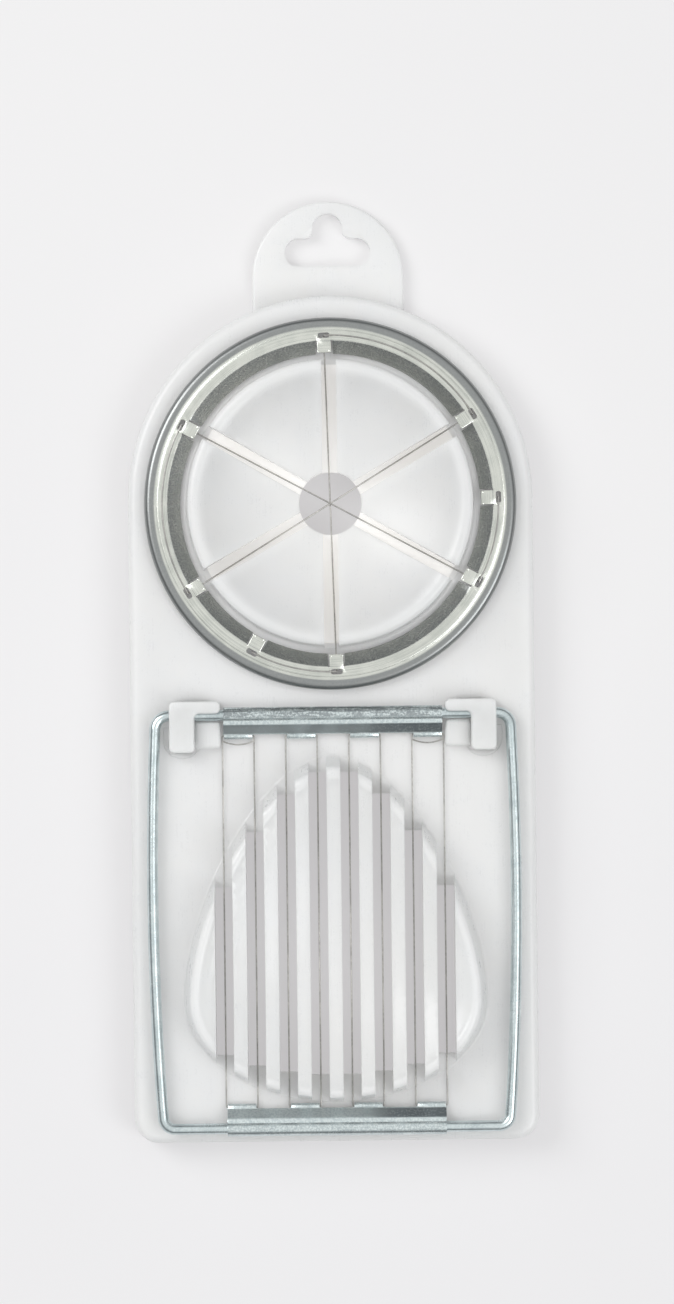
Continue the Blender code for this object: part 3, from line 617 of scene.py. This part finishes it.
def cupBody():
    bm = bmesh.new()
    top = deckZ + cup["height"] * mm
    foot = cup["foot"] * mm
    outer, crest = cup["radius"] * mm, cup["rim"] / 2 * mm
    vert = bm.verts.new((cup["hub"] * mm - gap, 0, deckZ - mm))
    first = vert
    vert = lineTo(bm, vert, (outer + foot, 0, deckZ - mm))
    vert = lineTo(bm, vert, (outer + foot, 0, deckZ))
    vert = arcFrom(bm, vert, (outer + foot, 0, deckZ + foot), quarterTurn, 5, (0, 1, 0))
    vert = lineTo(bm, vert, (outer - gap, 0, top - crest))
    vert = arcFrom(bm, vert, (outer - gap - crest, 0, top - crest), -quarterTurn, 8, (0, 1, 0))
    rim = cup["radius"] - cup["rim"]
    vert = lineTo(bm, vert, ((rim + 0.35) * mm, 0, top - 0.02 * mm))
    for k in range(cup["bowlSteps"] + 1):
        radius = rim + (cup["hub"] - 0.3 - rim) * k / cup["bowlSteps"]
        vert = lineTo(bm, vert, (radius * mm, 0, bowlHeight(radius) - (0.12 * mm if k == 0 else 0)))
    bm.edges.new((vert, first))
    return turned(bm, (0, cupY), cup["steps"])


def starTools(halfWidth, reach, low, high):
    tools = []
    for k in range(cup["cuts"]):
        angle = math.radians(cup["firstAngle"]) + k * halfTurn / cup["cuts"]
        tools.append(block((-reach, cupY - halfWidth, low), (reach, cupY + halfWidth, high),
                           angle, (0, cupY, 0)))
    return tools


def pocketTool():
    # the hollows under the round bowl, between the walls of its slots
    bm = bmesh.new()
    inner = cup["hub"] + cup["wall"]
    outer = cup["radius"] - 0.3 - cup["wall"]
    floor = deckZ - base["deckThickness"] * mm - gap
    first = bm.verts.new((inner * mm, 0, floor))
    vert = lineTo(bm, first, (outer * mm, 0, floor))
    for k in range(cup["pocketSteps"] + 1):
        radius = outer + (inner - outer) * k / cup["pocketSteps"]
        vert = lineTo(bm, vert, (radius * mm, 0, bowlHeight(radius) - cup["wall"] * mm))
    bm.edges.new((vert, first))
    pockets = newObject("pockets", turned(bm, (0, cupY), cup["steps"]))
    halfWidth = (cup["slot"] / 2 + cup["wall"]) * mm
    ribs = starTools(halfWidth, cup["radius"] * mm, floor - gap, deckZ + cup["height"] * mm)
    shapeWith(pockets, ribs, "DIFFERENCE")
    return takeMesh(pockets)


def dropLoop(bm):
    # a smooth outline: round at the free end and drawn out to a narrow nose
    curve = bpy.data.curves.new("dropOutline", "CURVE")
    curve.dimensions = "2D"
    curve.fill_mode = "NONE"
    curve.resolution_u = 36
    width, tail, nose = drop["halfWidth"] * mm, drop["tail"] * mm, drop["nose"] * mm
    quarter = 0.5523                              # handle length that makes a quarter of a circle
    shoulder, point = drop["shoulder"] * mm, drop["noseWidth"] * mm
    corners = [((width, 0), (0, -tail * quarter), (0, shoulder)),
               ((0, nose), (point, 0), (-point, 0)),
               ((-width, 0), (0, shoulder), (0, -tail * quarter)),
               ((0, -tail), (-width * quarter, 0), (width * quarter, 0))]
    spline = curve.splines.new("BEZIER")
    spline.bezier_points.add(len(corners) - 1)
    spline.use_cyclic_u = True
    for spot, (place, before, after) in zip(spline.bezier_points, corners):
        here = Vector((place[0], dropY + place[1], 0))
        spot.co = here
        spot.handle_left = here + Vector((*before, 0))
        spot.handle_right = here + Vector((*after, 0))
    path = bpy.data.objects.new("dropOutline", curve)
    bpy.context.scene.collection.objects.link(path)
    flat = settle(path)
    bm.from_mesh(flat.data)
    bpy.data.objects.remove(flat)
    bmesh.ops.remove_doubles(bm, verts=bm.verts, dist=gap / 50)
    return bm.edges[:]


def dropBody():
    bm = bmesh.new()
    loop = dropLoop(bm)
    rim = deckZ + drop["height"] * mm
    half = drop["rim"] / 2
    foot = drop["foot"]

    def level(inset, height):
        share = 1 - inset / drop["halfWidth"]
        return (share, share, height)

    bmesh.ops.translate(bm, vec=(0, 0, deckZ - mm), verts=bm.verts)
    levels = [level(0, deckZ - mm), level(-foot, deckZ - mm), level(-foot, deckZ)]
    levels += [level(-foot * (1 - math.sin(a)), deckZ + foot * (1 - math.cos(a)) * mm)
               for a in (quarterTurn * k / 5 for k in range(1, 6))]
    levels += [level(drop["lean"] + half * (1 - math.cos(a)), rim + half * (math.sin(a) - 1) * mm)
               for a in (quarterTurn * k / 7 for k in range(8))]
    levels += [level(drop["lean"] + half + half * u, rim - half / 2 * u ** 2 * mm)
               for u in (0.3, 0.6, 0.85, 1.0)]
    share = levels[-1][0]
    depth = drop["height"] - half / 2 - drop["rise"]
    for k in range(1, drop["bowlSteps"] + 1):
        u = 1 - drop["bowlReach"] * k / drop["bowlSteps"]
        levels.append((share * u, share * u, deckZ + (drop["rise"] + depth * u ** 2) * mm))
    climb(bm, loop, levels, (0, bowlY, 0))
    return bm


def dropReach(outline, x):
    # the outline's two ends along Y at this X
    hits = []
    for (x0, y0), (x1, y1) in outline:
        if (x0 - x) * (x1 - x) <= 0 and x0 != x1:
            hits.append(y0 + (y1 - y0) * (x - x0) / (x1 - x0))
    return min(hits), max(hits)


def sliceTools():
    # each slot is open to below under the bowl and closed at deck level towards both ends
    bm = bmesh.new()
    outline = [((edge.verts[0].co.x, edge.verts[0].co.y), (edge.verts[1].co.x, edge.verts[1].co.y))
               for edge in dropLoop(bm)]
    bm.free()
    tools = []
    half = drop["slot"] / 2 * mm
    floor = deckZ + drop["slotFloor"] * mm
    top = deckZ + (drop["height"] + 2) * mm
    spare = drop["rim"] * mm
    for x in wireX:
        low, high = dropReach(outline, abs(x) - half)
        tail = dropY - drop["openTail"] * mm * math.sqrt(1 - (x / (drop["openHalfWidth"] * mm)) ** 2)
        nose = dropReach(outline, abs(x) + half)[1] - drop["noseWall"] * mm
        bm = bmesh.new()
        corners = [(low - spare, floor), (tail, floor), (tail, 0), (nose, 0), (nose, floor),
                   (high + spare, floor), (high + spare, top), (low - spare, top)]
        first = bm.verts.new((x - half, *corners[0]))
        vert = first
        for corner in corners[1:]:
            vert = lineTo(bm, vert, (x - half, *corner))
        bm.edges.new((vert, first))
        face = bmesh.ops.edgeloop_fill(bm, edges=bm.edges[:])["faces"]
        side = bmesh.ops.extrude_face_region(bm, geom=face)["geom"]
        bmesh.ops.translate(bm, vec=(2 * half, 0, 0), verts=vertsIn(side))
        bmesh.ops.holes_fill(bm, edges=[edge for edge in bm.edges if edge.is_boundary])
        tools.append(bm)
    return tools


clip = {
    "legWidth": 5.2, "foot": 2.2, "backWall": 1.6, "plate": 2.0, "lip": 0.4, "tongue": 5.0, "seatHeight": 2.6,
    "seatEnd": 6.8, "bossHeight": 0.3, "bossWall": 1.4, "barb": 0.6, "barbHeight": 0.8, "round": 0.5,
    "corner": 1.0, "inset": 0.7,
}
clipBoxes = {"left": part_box("hinge_clip_left"), "right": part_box("hinge_clip_right")}


def clipSpans(name):
    # spans along X of the leg, the arm and the tongue, each low to high
    low, high = clipBoxes[name]
    side = -1 if high.x < 0 else 1
    outer = max(abs(low.x), abs(high.x))
    armEnd = min(abs(low.x), abs(high.x))
    leg = sorted((side * outer, side * (outer - clip["legWidth"] * mm)))
    arm = sorted((side * (outer - clip["legWidth"] * mm), side * armEnd))
    middle = side * (outer + armEnd) / 2
    half = clip["tongue"] / 2 * mm
    return leg, arm, (middle - half, middle + half)


def clipDepths(name):
    # places along Y: the back of the clip, its inner wall, and the two sides of its foot
    wall = axisY + rodRadius + gap
    back = wall + clip["backWall"] * mm
    front = clipBoxes[name][0].y + clip["barb"] * mm
    return back, wall, front + clip["foot"] * mm, front


def seatTools(name):
    leg, arm, tongue = clipSpans(name)
    back, wall, foot, front = clipDepths(name)
    root = deckZ - mm
    added = [block((arm[0], axisY - clip["seatEnd"] * mm, root),
                   (arm[1], axisY - rodRadius - gap, deckZ + clip["seatHeight"] * mm), radius=0.7 * mm)]
    middle = (leg[0] + leg[1]) / 2
    radius = (clip["legWidth"] / 2 + clip["bossWall"]) * mm
    centreY = front + radius - clip["bossWall"] * mm
    bossBack = axisY - rodRadius - clip["bossWall"] * mm
    boss = bmesh.new()
    loop = arcLoop(boss, [((middle - radius, centreY, 0), (middle, centreY, 0), halfTurn, 24),
                          ((middle + radius, bossBack, 0), (0, bossBack, 0), 0, 1),
                          ((middle - radius, bossBack, 0), (0, bossBack, 0), 0, 1)])
    roundOff(boss, prism(boss, loop, root, deckZ + clip["bossHeight"] * mm), 0.35 * mm, 3)
    added.append(boss)
    fit = gap / 3
    holes = [block((leg[0] - fit, front - fit, 0), (leg[1] + fit, foot + fit, 2 * deckZ)),
             block((tongue[0] - fit, wall - fit, 0), (tongue[1] + fit, back + fit, 2 * deckZ))]
    return added, holes


def makeBase():
    piece = newObject("slicerBase", shellBody())
    added = [tabBody(), cupBody(), dropBody()]
    cut = [hollowTool(), pocketTool(), hangTool()]
    hub = bmesh.new()
    bmesh.ops.create_cone(hub, cap_ends=True, segments=96, radius1=cup["hub"] * mm, radius2=cup["hub"] * mm,
                          depth=6 * deckZ)
    bmesh.ops.translate(hub, vec=(0, cupY, 0), verts=hub.verts)
    cut.append(hub)
    floor = deckZ + drop["slotFloor"] * mm
    cut += starTools(cup["slot"] / 2 * mm, cup["radius"] * mm + 3 * gap, floor, deckZ + 2 * cup["height"] * mm)
    cut += sliceTools()
    for name in ("left", "right"):
        seats, holes = seatTools(name)
        added += seats
        cut += holes
    shapeWith(piece, added, "UNION")
    shapeWith(piece, cut, "DIFFERENCE")
    cleanFaces(piece)
    softenEdges(piece, 0.22 * mm, 2, 50)
    return finishPiece(piece, "base", "base", whitePlastic)


makeBase()


# hinge clips

def clipPlan(name, low, high):
    # the L of the clip seen from above, with round corners and a softened top
    leg, arm, _ = clipSpans(name)
    back, _, _, front = clipDepths(name)
    outer, inner, end = (leg[0], leg[1], arm[1]) if leg[0] < arm[0] else (leg[1], leg[0], arm[0])
    lip = axisY + clip["lip"] * mm
    bm = bmesh.new()
    first = bm.verts.new((outer, front, 0))
    vert = first
    for x, y in ((inner, front), (inner, lip), (end, lip), (end, back), (outer, back)):
        vert = lineTo(bm, vert, (x, y, 0))
    bm.edges.new((vert, first))
    bmesh.ops.edgeloop_fill(bm, edges=bm.edges[:])
    bmesh.ops.bevel(bm, geom=bm.verts[:], offset=clip["corner"] * mm, offset_type="OFFSET", segments=6,
                    profile=0.5, affect="VERTICES", material=-1)
    bmesh.ops.delete(bm, geom=bm.faces[:], context="FACES_ONLY")
    roundOff(bm, prism(bm, bm.edges[:], low, high), clip["round"] * mm, 5)
    return bm


def makeClip(name):
    leg, arm, tongue = clipSpans(name)
    back, wall, foot, front = clipDepths(name)
    low = deckZ + gap
    roof = axisZ + rodRadius + gap
    barbTop = deckZ - base["deckThickness"] * mm - gap
    barbLow = barbTop - clip["barbHeight"] * mm
    piece = newObject("clip" + name.title(), clipPlan(name, low, roof + clip["plate"] * mm))
    spare = clip["inset"] * mm
    underArm = block((min(leg[0], arm[0]) - gap, foot, deckZ), (max(leg[1], arm[1]) + gap, wall, roof))
    shapeWith(piece, [underArm], "DIFFERENCE")
    added = [block((leg[0] + spare, front, barbLow), (leg[1] - spare, foot, low + gap)),
             block((tongue[0], wall, barbLow), (tongue[1], back, low + gap))]
    middle = (barbLow + barbTop) / 2
    for spanLow, spanHigh, edge, side in ((leg[0] + spare, leg[1] - spare, front, -1),
                                          (tongue[0], tongue[1], back, 1)):
        barb = block((spanLow, min(edge, edge + side * clip["barb"] * mm), barbLow),
                     (spanHigh, max(edge, edge + side * clip["barb"] * mm), barbTop))
        outside = [vert for vert in barb.verts if side * (vert.co.y - edge) > 0 and vert.co.z < middle]
        bmesh.ops.translate(barb, vec=(0, -side * clip["barb"] * mm * 0.9, 0), verts=outside)
        added.append(barb)
    shapeWith(piece, added, "UNION")
    cleanFaces(piece)
    return finishPiece(piece, "base", "hinge_clip_" + name, clipPlastic)


for clipName in ("left", "right"):
    makeClip(clipName)


# slicing frame: the bent rod, two folded bars and four loops of wire

rod = {
    "radius": 1.12, "hingeWidth": 73.2, "freeWidth": 71.4, "bow": 1.2, "hingeBend": 2.9, "freeBend": 2.4,
    "sides": 32, "sideSteps": 30,
}


def rodPath():
    hinge, free = rod["hingeWidth"] / 2 * mm, rod["freeWidth"] / 2 * mm
    hingeBend, freeBend = rod["hingeBend"] * mm, rod["freeBend"] * mm
    length = axisY - freeRodY
    first, last = freeBend / length, 1 - hingeBend / length
    right = arcPoints((free - freeBend, freeRodY + freeBend), freeBend, -quarterTurn, 0, 12)
    for k in range(1, rod["sideSteps"]):
        t = first + (last - first) * k / rod["sideSteps"]
        bow = 4 * rod["bow"] * mm * (t - first) * (last - t) / (last - first) ** 2
        right.append(Vector((free + (hinge - free) * t + bow, freeRodY + length * t)))
    right += arcPoints((hinge - hingeBend, axisY - hingeBend), hingeBend, 0, quarterTurn, 12)
    left = [(-spot.x, spot.y, axisZ) for spot in reversed(right)]
    return [(spot.x, spot.y, axisZ) for spot in right] + left


def makeRod():
    piece = tube("frameRod", rodPath(), rod["radius"] * mm, rod["sides"], True)
    return finishPiece(piece, "slicing_frame", "frame_rod", zincFinish)


makeRod()

bar = {
    "sheet": 0.4, "foldGap": 0.2, "webReach": 2.1, "webHeight": 0.75, "flangeReach": 3.9, "lugDrop": 1.2,
    "lugReach": 4.78, "lipDrop": 1.9, "lugGap": 0.15, "bend": 0.35, "foldStart": -30, "foldTurn": 290,
}


def lugStops():
    # both ends of each lug along X, just inside its two runs of wire
    stops = []
    for left, right in zip(wireX[::2], wireX[1::2]):
        stops += [left + wireRadius + bar["lugGap"] * mm, right - wireRadius - bar["lugGap"] * mm]
    return stops


def barSheet(low, high, rodY, inwards):
    # the section wraps the rod, slopes down to the lugs and ends in a lip, and is carried along X
    bm = bmesh.new()
    radius = rodRadius + (bar["foldGap"] + bar["sheet"] / 2) * mm
    begin = math.radians(bar["foldStart"])
    vert = bm.verts.new((low.x, rodY + inwards * radius * math.cos(begin), axisZ + radius * math.sin(begin)))
    vert = arcFrom(bm, vert, (low.x, rodY, axisZ), -inwards * math.radians(bar["foldTurn"]), 28, (1, 0, 0))
    for reach, height in ((bar["webReach"], bar["webHeight"]), (bar["flangeReach"], -bar["lugDrop"]),
                          (bar["lugReach"], -bar["lugDrop"]), (bar["lugReach"], -bar["lipDrop"])):
        vert = lineTo(bm, vert, (low.x, rodY + inwards * reach * mm, axisZ + height * mm))
    stops = lugStops()
    edge = bm.edges[:]
    place = low.x
    for stop in stops + [high.x]:
        made = bmesh.ops.extrude_edge_only(bm, edges=edge)["geom"]
        bmesh.ops.translate(bm, vec=(stop - place, 0, 0), verts=vertsIn(made))
        edge = [item for item in edgesIn(made) if abs(item.verts[0].co.x - item.verts[1].co.x) < gap / 100]
        place = stop
    notches = []
    for face in bm.faces:
        middle = face.calc_center_median()
        beyond = inwards * (middle.y - rodY) > (bar["flangeReach"] + 0.02) * mm
        onLug = any(stops[k] < middle.x < stops[k + 1] for k in range(0, len(stops), 2))
        if beyond and not onLug:
            notches.append(face)
    bmesh.ops.delete(bm, geom=notches, context="FACES")
    folds = []
    for item in bm.edges:
        reach = inwards * ((item.verts[0].co.y + item.verts[1].co.y) / 2 - rodY)
        along = abs(item.verts[0].co.y - item.verts[1].co.y) < gap / 100 and not item.is_boundary
        if along and reach > (bar["webReach"] - 0.05) * mm and len(item.link_faces) == 2:
            folds.append(item)
    roundOff(bm, folds, bar["bend"] * mm, 3)
    return bm


def makeBar(name, rodY, inwards, worn):
    low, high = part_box(name)
    piece = newObject(name.replace("_wire_bar", "Bar"), barSheet(low, high, rodY, inwards))
    thicken(piece, bar["sheet"] * mm)
    softenEdges(piece, 0.07 * mm, 2, 50)
    finish = foldedZinc(name + "Finish", rodY, inwards, worn)
    return finishPiece(piece, "slicing_frame", name, finish)


# the last number sets both the fold scuff and the painted dark reflection on the slope
makeBar("hinge_wire_bar", axisY, -1, 0.62)
makeBar("free_wire_bar", freeRodY, 1, 0.15)

wireLoop = {"turnReach": 4.2, "bend": 0.42, "sides": 12, "slackReach": 5.35, "slackSag": 0.75, "slackSteps": 16}


def slackWire(left, right):
    # the spare wire lies in a loose arc below the lug
    steps = wireLoop["slackSteps"]
    slackY = axisY - wireLoop["slackReach"] * mm
    sag = wireLoop["slackSag"] * mm
    spots = [(left + (right - left) * k / steps, slackY - sag * (1 - (2 * k / steps - 1) ** 2), wireZ)
             for k in range(steps + 1)]
    return takeMesh(tube("slack", spots, steel["radius"] * mm * 0.9, wireLoop["sides"], False))


def makeLoop(number):
    left, right = wireX[2 * number - 2], wireX[2 * number - 1]
    hingeY, freeY = axisY - wireLoop["turnReach"] * mm, freeRodY + wireLoop["turnReach"] * mm
    bend = wireLoop["bend"] * mm
    corners = [(right - bend, freeY + bend), (right - bend, hingeY - bend),
               (left + bend, hingeY - bend), (left + bend, freeY + bend)]
    path = []
    for k, corner in enumerate(corners):
        path += arcPoints(corner, bend, (k - 1) * quarterTurn, k * quarterTurn, 8)
    points = [(spot.x, spot.y, wireZ) for spot in path]
    piece = tube(f"slicingLoop{number}", points, steel["radius"] * mm, wireLoop["sides"], True)
    if number in (loopNumbers[0], loopNumbers[-1]):
        shapeWith(piece, [slackWire(left, right)], "UNION")
    return finishPiece(piece, "slicing_frame", f"slicing_wire_{number}", wireFinish, 60)


for number in loopNumbers:
    makeLoop(number)


# wedge cutter: the pressed ring and its single wire

ring = {
    "clearance": 1.5, "lipWidth": 2.5, "width": 7.3, "curl": 1.2, "sheet": 0.4, "turn": 1.6, "lugWidth": 2.9,
    "eyeWidth": 2.4, "eyeDepth": 1.1, "eyeInset": 1.1, "steps": 192, "crease": 0.12, "ear": 0.55,
}
lipRadius = (cup["radius"] + ring["clearance"]) * mm
landRadius = lipRadius + ring["lipWidth"] * mm
ringRadius = lipRadius + ring["width"] * mm
eyeRadius = landRadius + ring["eyeInset"] * mm
landTop = deckZ + gap + 2 * ring["curl"] * mm
wedgeTurn = halfTurn / cup["cuts"]             # angle of one wedge
firstChord = math.radians(cup["firstAngle"] + ring["turn"])
chordEnds = [firstChord + k * halfTurn / cup["cuts"] for k in range(2 * cup["cuts"])]
anchors = [chordEnds[4] - wedgeTurn / 2, chordEnds[0] - wedgeTurn / 2]      # lugs that hold the wire's ends


def ringSheet():
    # the section runs round the rolled edge, over the land and down the lip
    bm = bmesh.new()
    radius = (ring["curl"] - ring["sheet"] / 2) * mm
    middle = (ringRadius - ring["curl"] * mm, 0, deckZ + gap + ring["curl"] * mm)
    begin = -math.radians(170)
    vert = bm.verts.new((middle[0] + radius * math.cos(begin), 0, middle[2] + radius * math.sin(begin)))
    vert = arcFrom(bm, vert, middle, -math.radians(260), 26, (0, 1, 0))
    land = landTop - ring["sheet"] / 2 * mm
    crease = landRadius + (ringRadius - landRadius) * 0.42
    step = ring["crease"] * mm
    for x, z in ((crease + 3 * step, land), (crease + step, land - step), (crease - step, land - step / 2),
                 (landRadius + step, land), (landRadius, land - step / 2),
                 (lipRadius, land - (landRadius - lipRadius) * 0.8)):
        vert = lineTo(bm, vert, (x, 0, z))
    return turned(bm, (0, cupY), ring["steps"])


def eyeTool(angle, about):
    # the hole with rounded corners that the wire dips through
    eye = block((eyeRadius - ring["eyeDepth"] / 2 * mm, cupY - ring["eyeWidth"] / 2 * mm, deckZ + gap / 2),
                (eyeRadius + ring["eyeDepth"] / 2 * mm, cupY + ring["eyeWidth"] / 2 * mm, landTop + gap))
    upright = [edge for edge in eye.edges if abs(edge.verts[0].co.z - edge.verts[1].co.z) > gap]
    roundOff(eye, upright, 0.45 * mm, 5)
    bmesh.ops.rotate(eye, cent=about, matrix=Matrix.Rotation(angle, 3, "Z"), verts=eye.verts)
    return eye


def lugBodies(angle, about):
    # the lug that reaches in from the land, with a raised ear at each inner corner
    half = ring["lugWidth"] / 2 * mm
    landLow = landTop - ring["sheet"] * mm
    made = [block((lipRadius, cupY - half, landLow + 0.03 * mm),
                  (landRadius + 0.55 * mm, cupY + half, landTop + 0.02 * mm), angle, about, 0.12 * mm, 2)]
    for side in (-1, 1):
        corner = cupY + side * (half - ring["ear"] / 2 * mm)
        made.append(block((lipRadius, corner - ring["ear"] / 2 * mm, landLow + 0.1 * mm),
                          (lipRadius + ring["ear"] * mm, corner + ring["ear"] / 2 * mm, landTop + 0.3 * mm),
                          angle, about, 0.12 * mm, 2))
    return made


def makeRing():
    piece = newObject("wedgeRing", ringSheet())
    thicken(piece, ring["sheet"] * mm)
    about = (0, cupY, 0)
    half = ring["lugWidth"] / 2 * mm
    cut, added = [], []
    for angle in chordEnds + anchors:
        cut.append(block((lipRadius - gap, cupY - half - gap, deckZ),
                         (landRadius + 0.1 * mm, cupY + half + gap, landTop + gap), angle, about))
        cut.append(eyeTool(angle, about))
        added += lugBodies(angle, about)
    shapeWith(piece, cut, "DIFFERENCE")
    shapeWith(piece, added, "UNION")
    cleanFaces(piece)
    return finishPiece(piece, "wedge_cutter", "wedge_ring", tinFinish)


makeRing()

chord = {"sheetGap": 0.06, "drop": 0.75, "step": 0.45, "sides": 12}


def onRing(radius, angle, z):
    return (radius * math.cos(angle), cupY + radius * math.sin(angle), z)


def chordPath():
    # the wire runs along the land between lugs, and dives through an eye at both ends of a chord
    radius = steel["radius"] * mm
    above = landTop + radius + chord["sheetGap"] * mm
    under = landTop - ring["sheet"] * mm - radius - chord["sheetGap"] * mm
    middle = landTop - chord["drop"] * mm

    def dive(angle, rising):
        down = [onRing(eyeRadius, angle, above), onRing(eyeRadius - 0.05 * mm, angle, above - radius),
                onRing(eyeRadius - radius, angle, under + radius / 2),
                onRing(eyeRadius - 2 * radius, angle, under), onRing(lipRadius, angle, under - radius)]
        return down[::-1] if rising else down

    def along(start, end):
        count = max(2, round(abs(end - start) / math.radians(3)))
        return [onRing(eyeRadius, start + (end - start) * k / count, above) for k in range(1, count)]

    path = [onRing(eyeRadius - radius, anchors[0], under), onRing(eyeRadius, anchors[0], above)]
    previous = anchors[0]
    for start, end, level in ((4, 1, -1), (0, 3, 0), (2, 5, 1)):
        first = chordEnds[start]
        if abs(first - previous) > halfTurn:
            previous += fullTurn if previous < first else -fullTurn
        path += along(previous, first) + dive(first, False)
        path.append((0, cupY, middle + level * chord["step"] * mm))
        path += dive(chordEnds[end], True)
        previous = chordEnds[end]
    last = anchors[1] + fullTurn
    path += along(previous, last)
    return path + [onRing(eyeRadius, last, above), onRing(eyeRadius - radius, last, under)]


def makeChords():
    piece = tube("wedgeWire", chordPath(), steel["radius"] * mm, chord["sides"], False)
    return finishPiece(piece, "wedge_cutter", "wedge_wire", wireFinish, 60)


makeChords()


# floor, light and camera

stage = {
    "floor": (0.50, 0.50, 0.50, 1), "floorShade": (0.48, 0.48, 0.485, 1), "floorSize": 4.0, "floorDrop": 0.02,
    "glow": (0.80, 0.78, 0.79, 1), "glowStrength": 0.43, "aimX": 1.05, "aimY": 3.9, "height": 1.2,
    "span": 268.6, "lean": -0.65,
}
sky = {
    "tilt": 0.16, "strength": 0.9,
    "stops": [(0.0, (0.43, 0.435, 0.44, 1)), (0.9, (0.95, 0.955, 0.95, 1)), (0.25, (0.21, 0.215, 0.22, 1)),
              (0.55, (0.37, 0.38, 0.385, 1)), (0.72, (0.82, 0.83, 0.83, 1))],
}
lamps = {
    "softLeft": {"place": (-0.9, 0.5, 1.1), "size": (0.7, 0.9), "power": 9, "tone": (1.0, 1.0, 1.0)},
    "softRight": {"place": (0.8, -0.5, 1.2), "size": (0.6, 0.8), "power": 5, "tone": (0.97, 0.985, 1.0)},
}


def makeFloor():
    bm = bmesh.new()
    bmesh.ops.create_grid(bm, x_segments=1, y_segments=1, size=stage["floorSize"])
    bmesh.ops.translate(bm, vec=(0, 0, -stage["floorDrop"] * mm), verts=bm.verts)
    floor = newObject("floor", bm)
    finish = Finish("paleFloor", {"Roughness": 0.6, "Emission Color": stage["glow"],
                                  "Emission Strength": stage["glowStrength"]})
    tint = finish.blend(finish.spread(finish.noise(0.3, 3.0), 0.35, 0.65), stage["floor"], stage["floorShade"])
    floor.data.materials.append(finish.give(colour=tint))


def makeLight(name, place, size, power, tone):
    lamp = bpy.data.lights.new(name, "AREA")
    lamp.shape = "RECTANGLE"
    lamp.size, lamp.size_y = size
    lamp.energy = power
    lamp.color = tone
    holder = bpy.data.objects.new(name, lamp)
    bpy.context.scene.collection.objects.link(holder)
    holder.location = place
    holder.rotation_mode = "QUATERNION"
    holder.rotation_quaternion = (-Vector(place)).to_track_quat("-Z", "Y")


def makeSky():
    world = bpy.data.worlds.new("studio")
    bpy.context.scene.world = world
    world.use_nodes = True
    nodes = world.node_tree.nodes
    direction = addNode(nodes, "ShaderNodeTexCoord", {}, {}).outputs["Generated"]
    parts = addNode(nodes, "ShaderNodeSeparateXYZ", {}, {0: Signal(direction)}).outputs
    # a little darker towards the left of the room
    tilt = addNode(nodes, "ShaderNodeMath", {"operation": "MULTIPLY_ADD"},
                   {0: Signal(parts[0]), 1: sky["tilt"], 2: Signal(parts[2])})
    ramp = addNode(nodes, "ShaderNodeValToRGB", {"stops": sky["stops"]}, {0: Signal(tilt.outputs[0])})
    background = nodes["Background"].inputs
    feed(background["Color"], Signal(ramp.outputs[0]))
    feed(background["Strength"], sky["strength"])


def makeCamera():
    lens = bpy.data.cameras.new("camera")
    lens.lens = lens.sensor_width * stage["height"] / (stage["span"] * mm)
    camera = bpy.data.objects.new("camera", lens)
    bpy.context.scene.collection.objects.link(camera)
    camera.location = (stage["aimX"] * mm, stage["aimY"] * mm, stage["height"] + deckZ)
    camera.rotation_euler = (0, 0, math.radians(stage["lean"]))
    bpy.context.scene.camera = camera
    bpy.context.scene.view_settings.view_transform = "Standard"


makeFloor()
makeSky()
for lampName, lamp in lamps.items():
    makeLight(lampName, **lamp)
makeCamera()
print("floor, light and camera set")
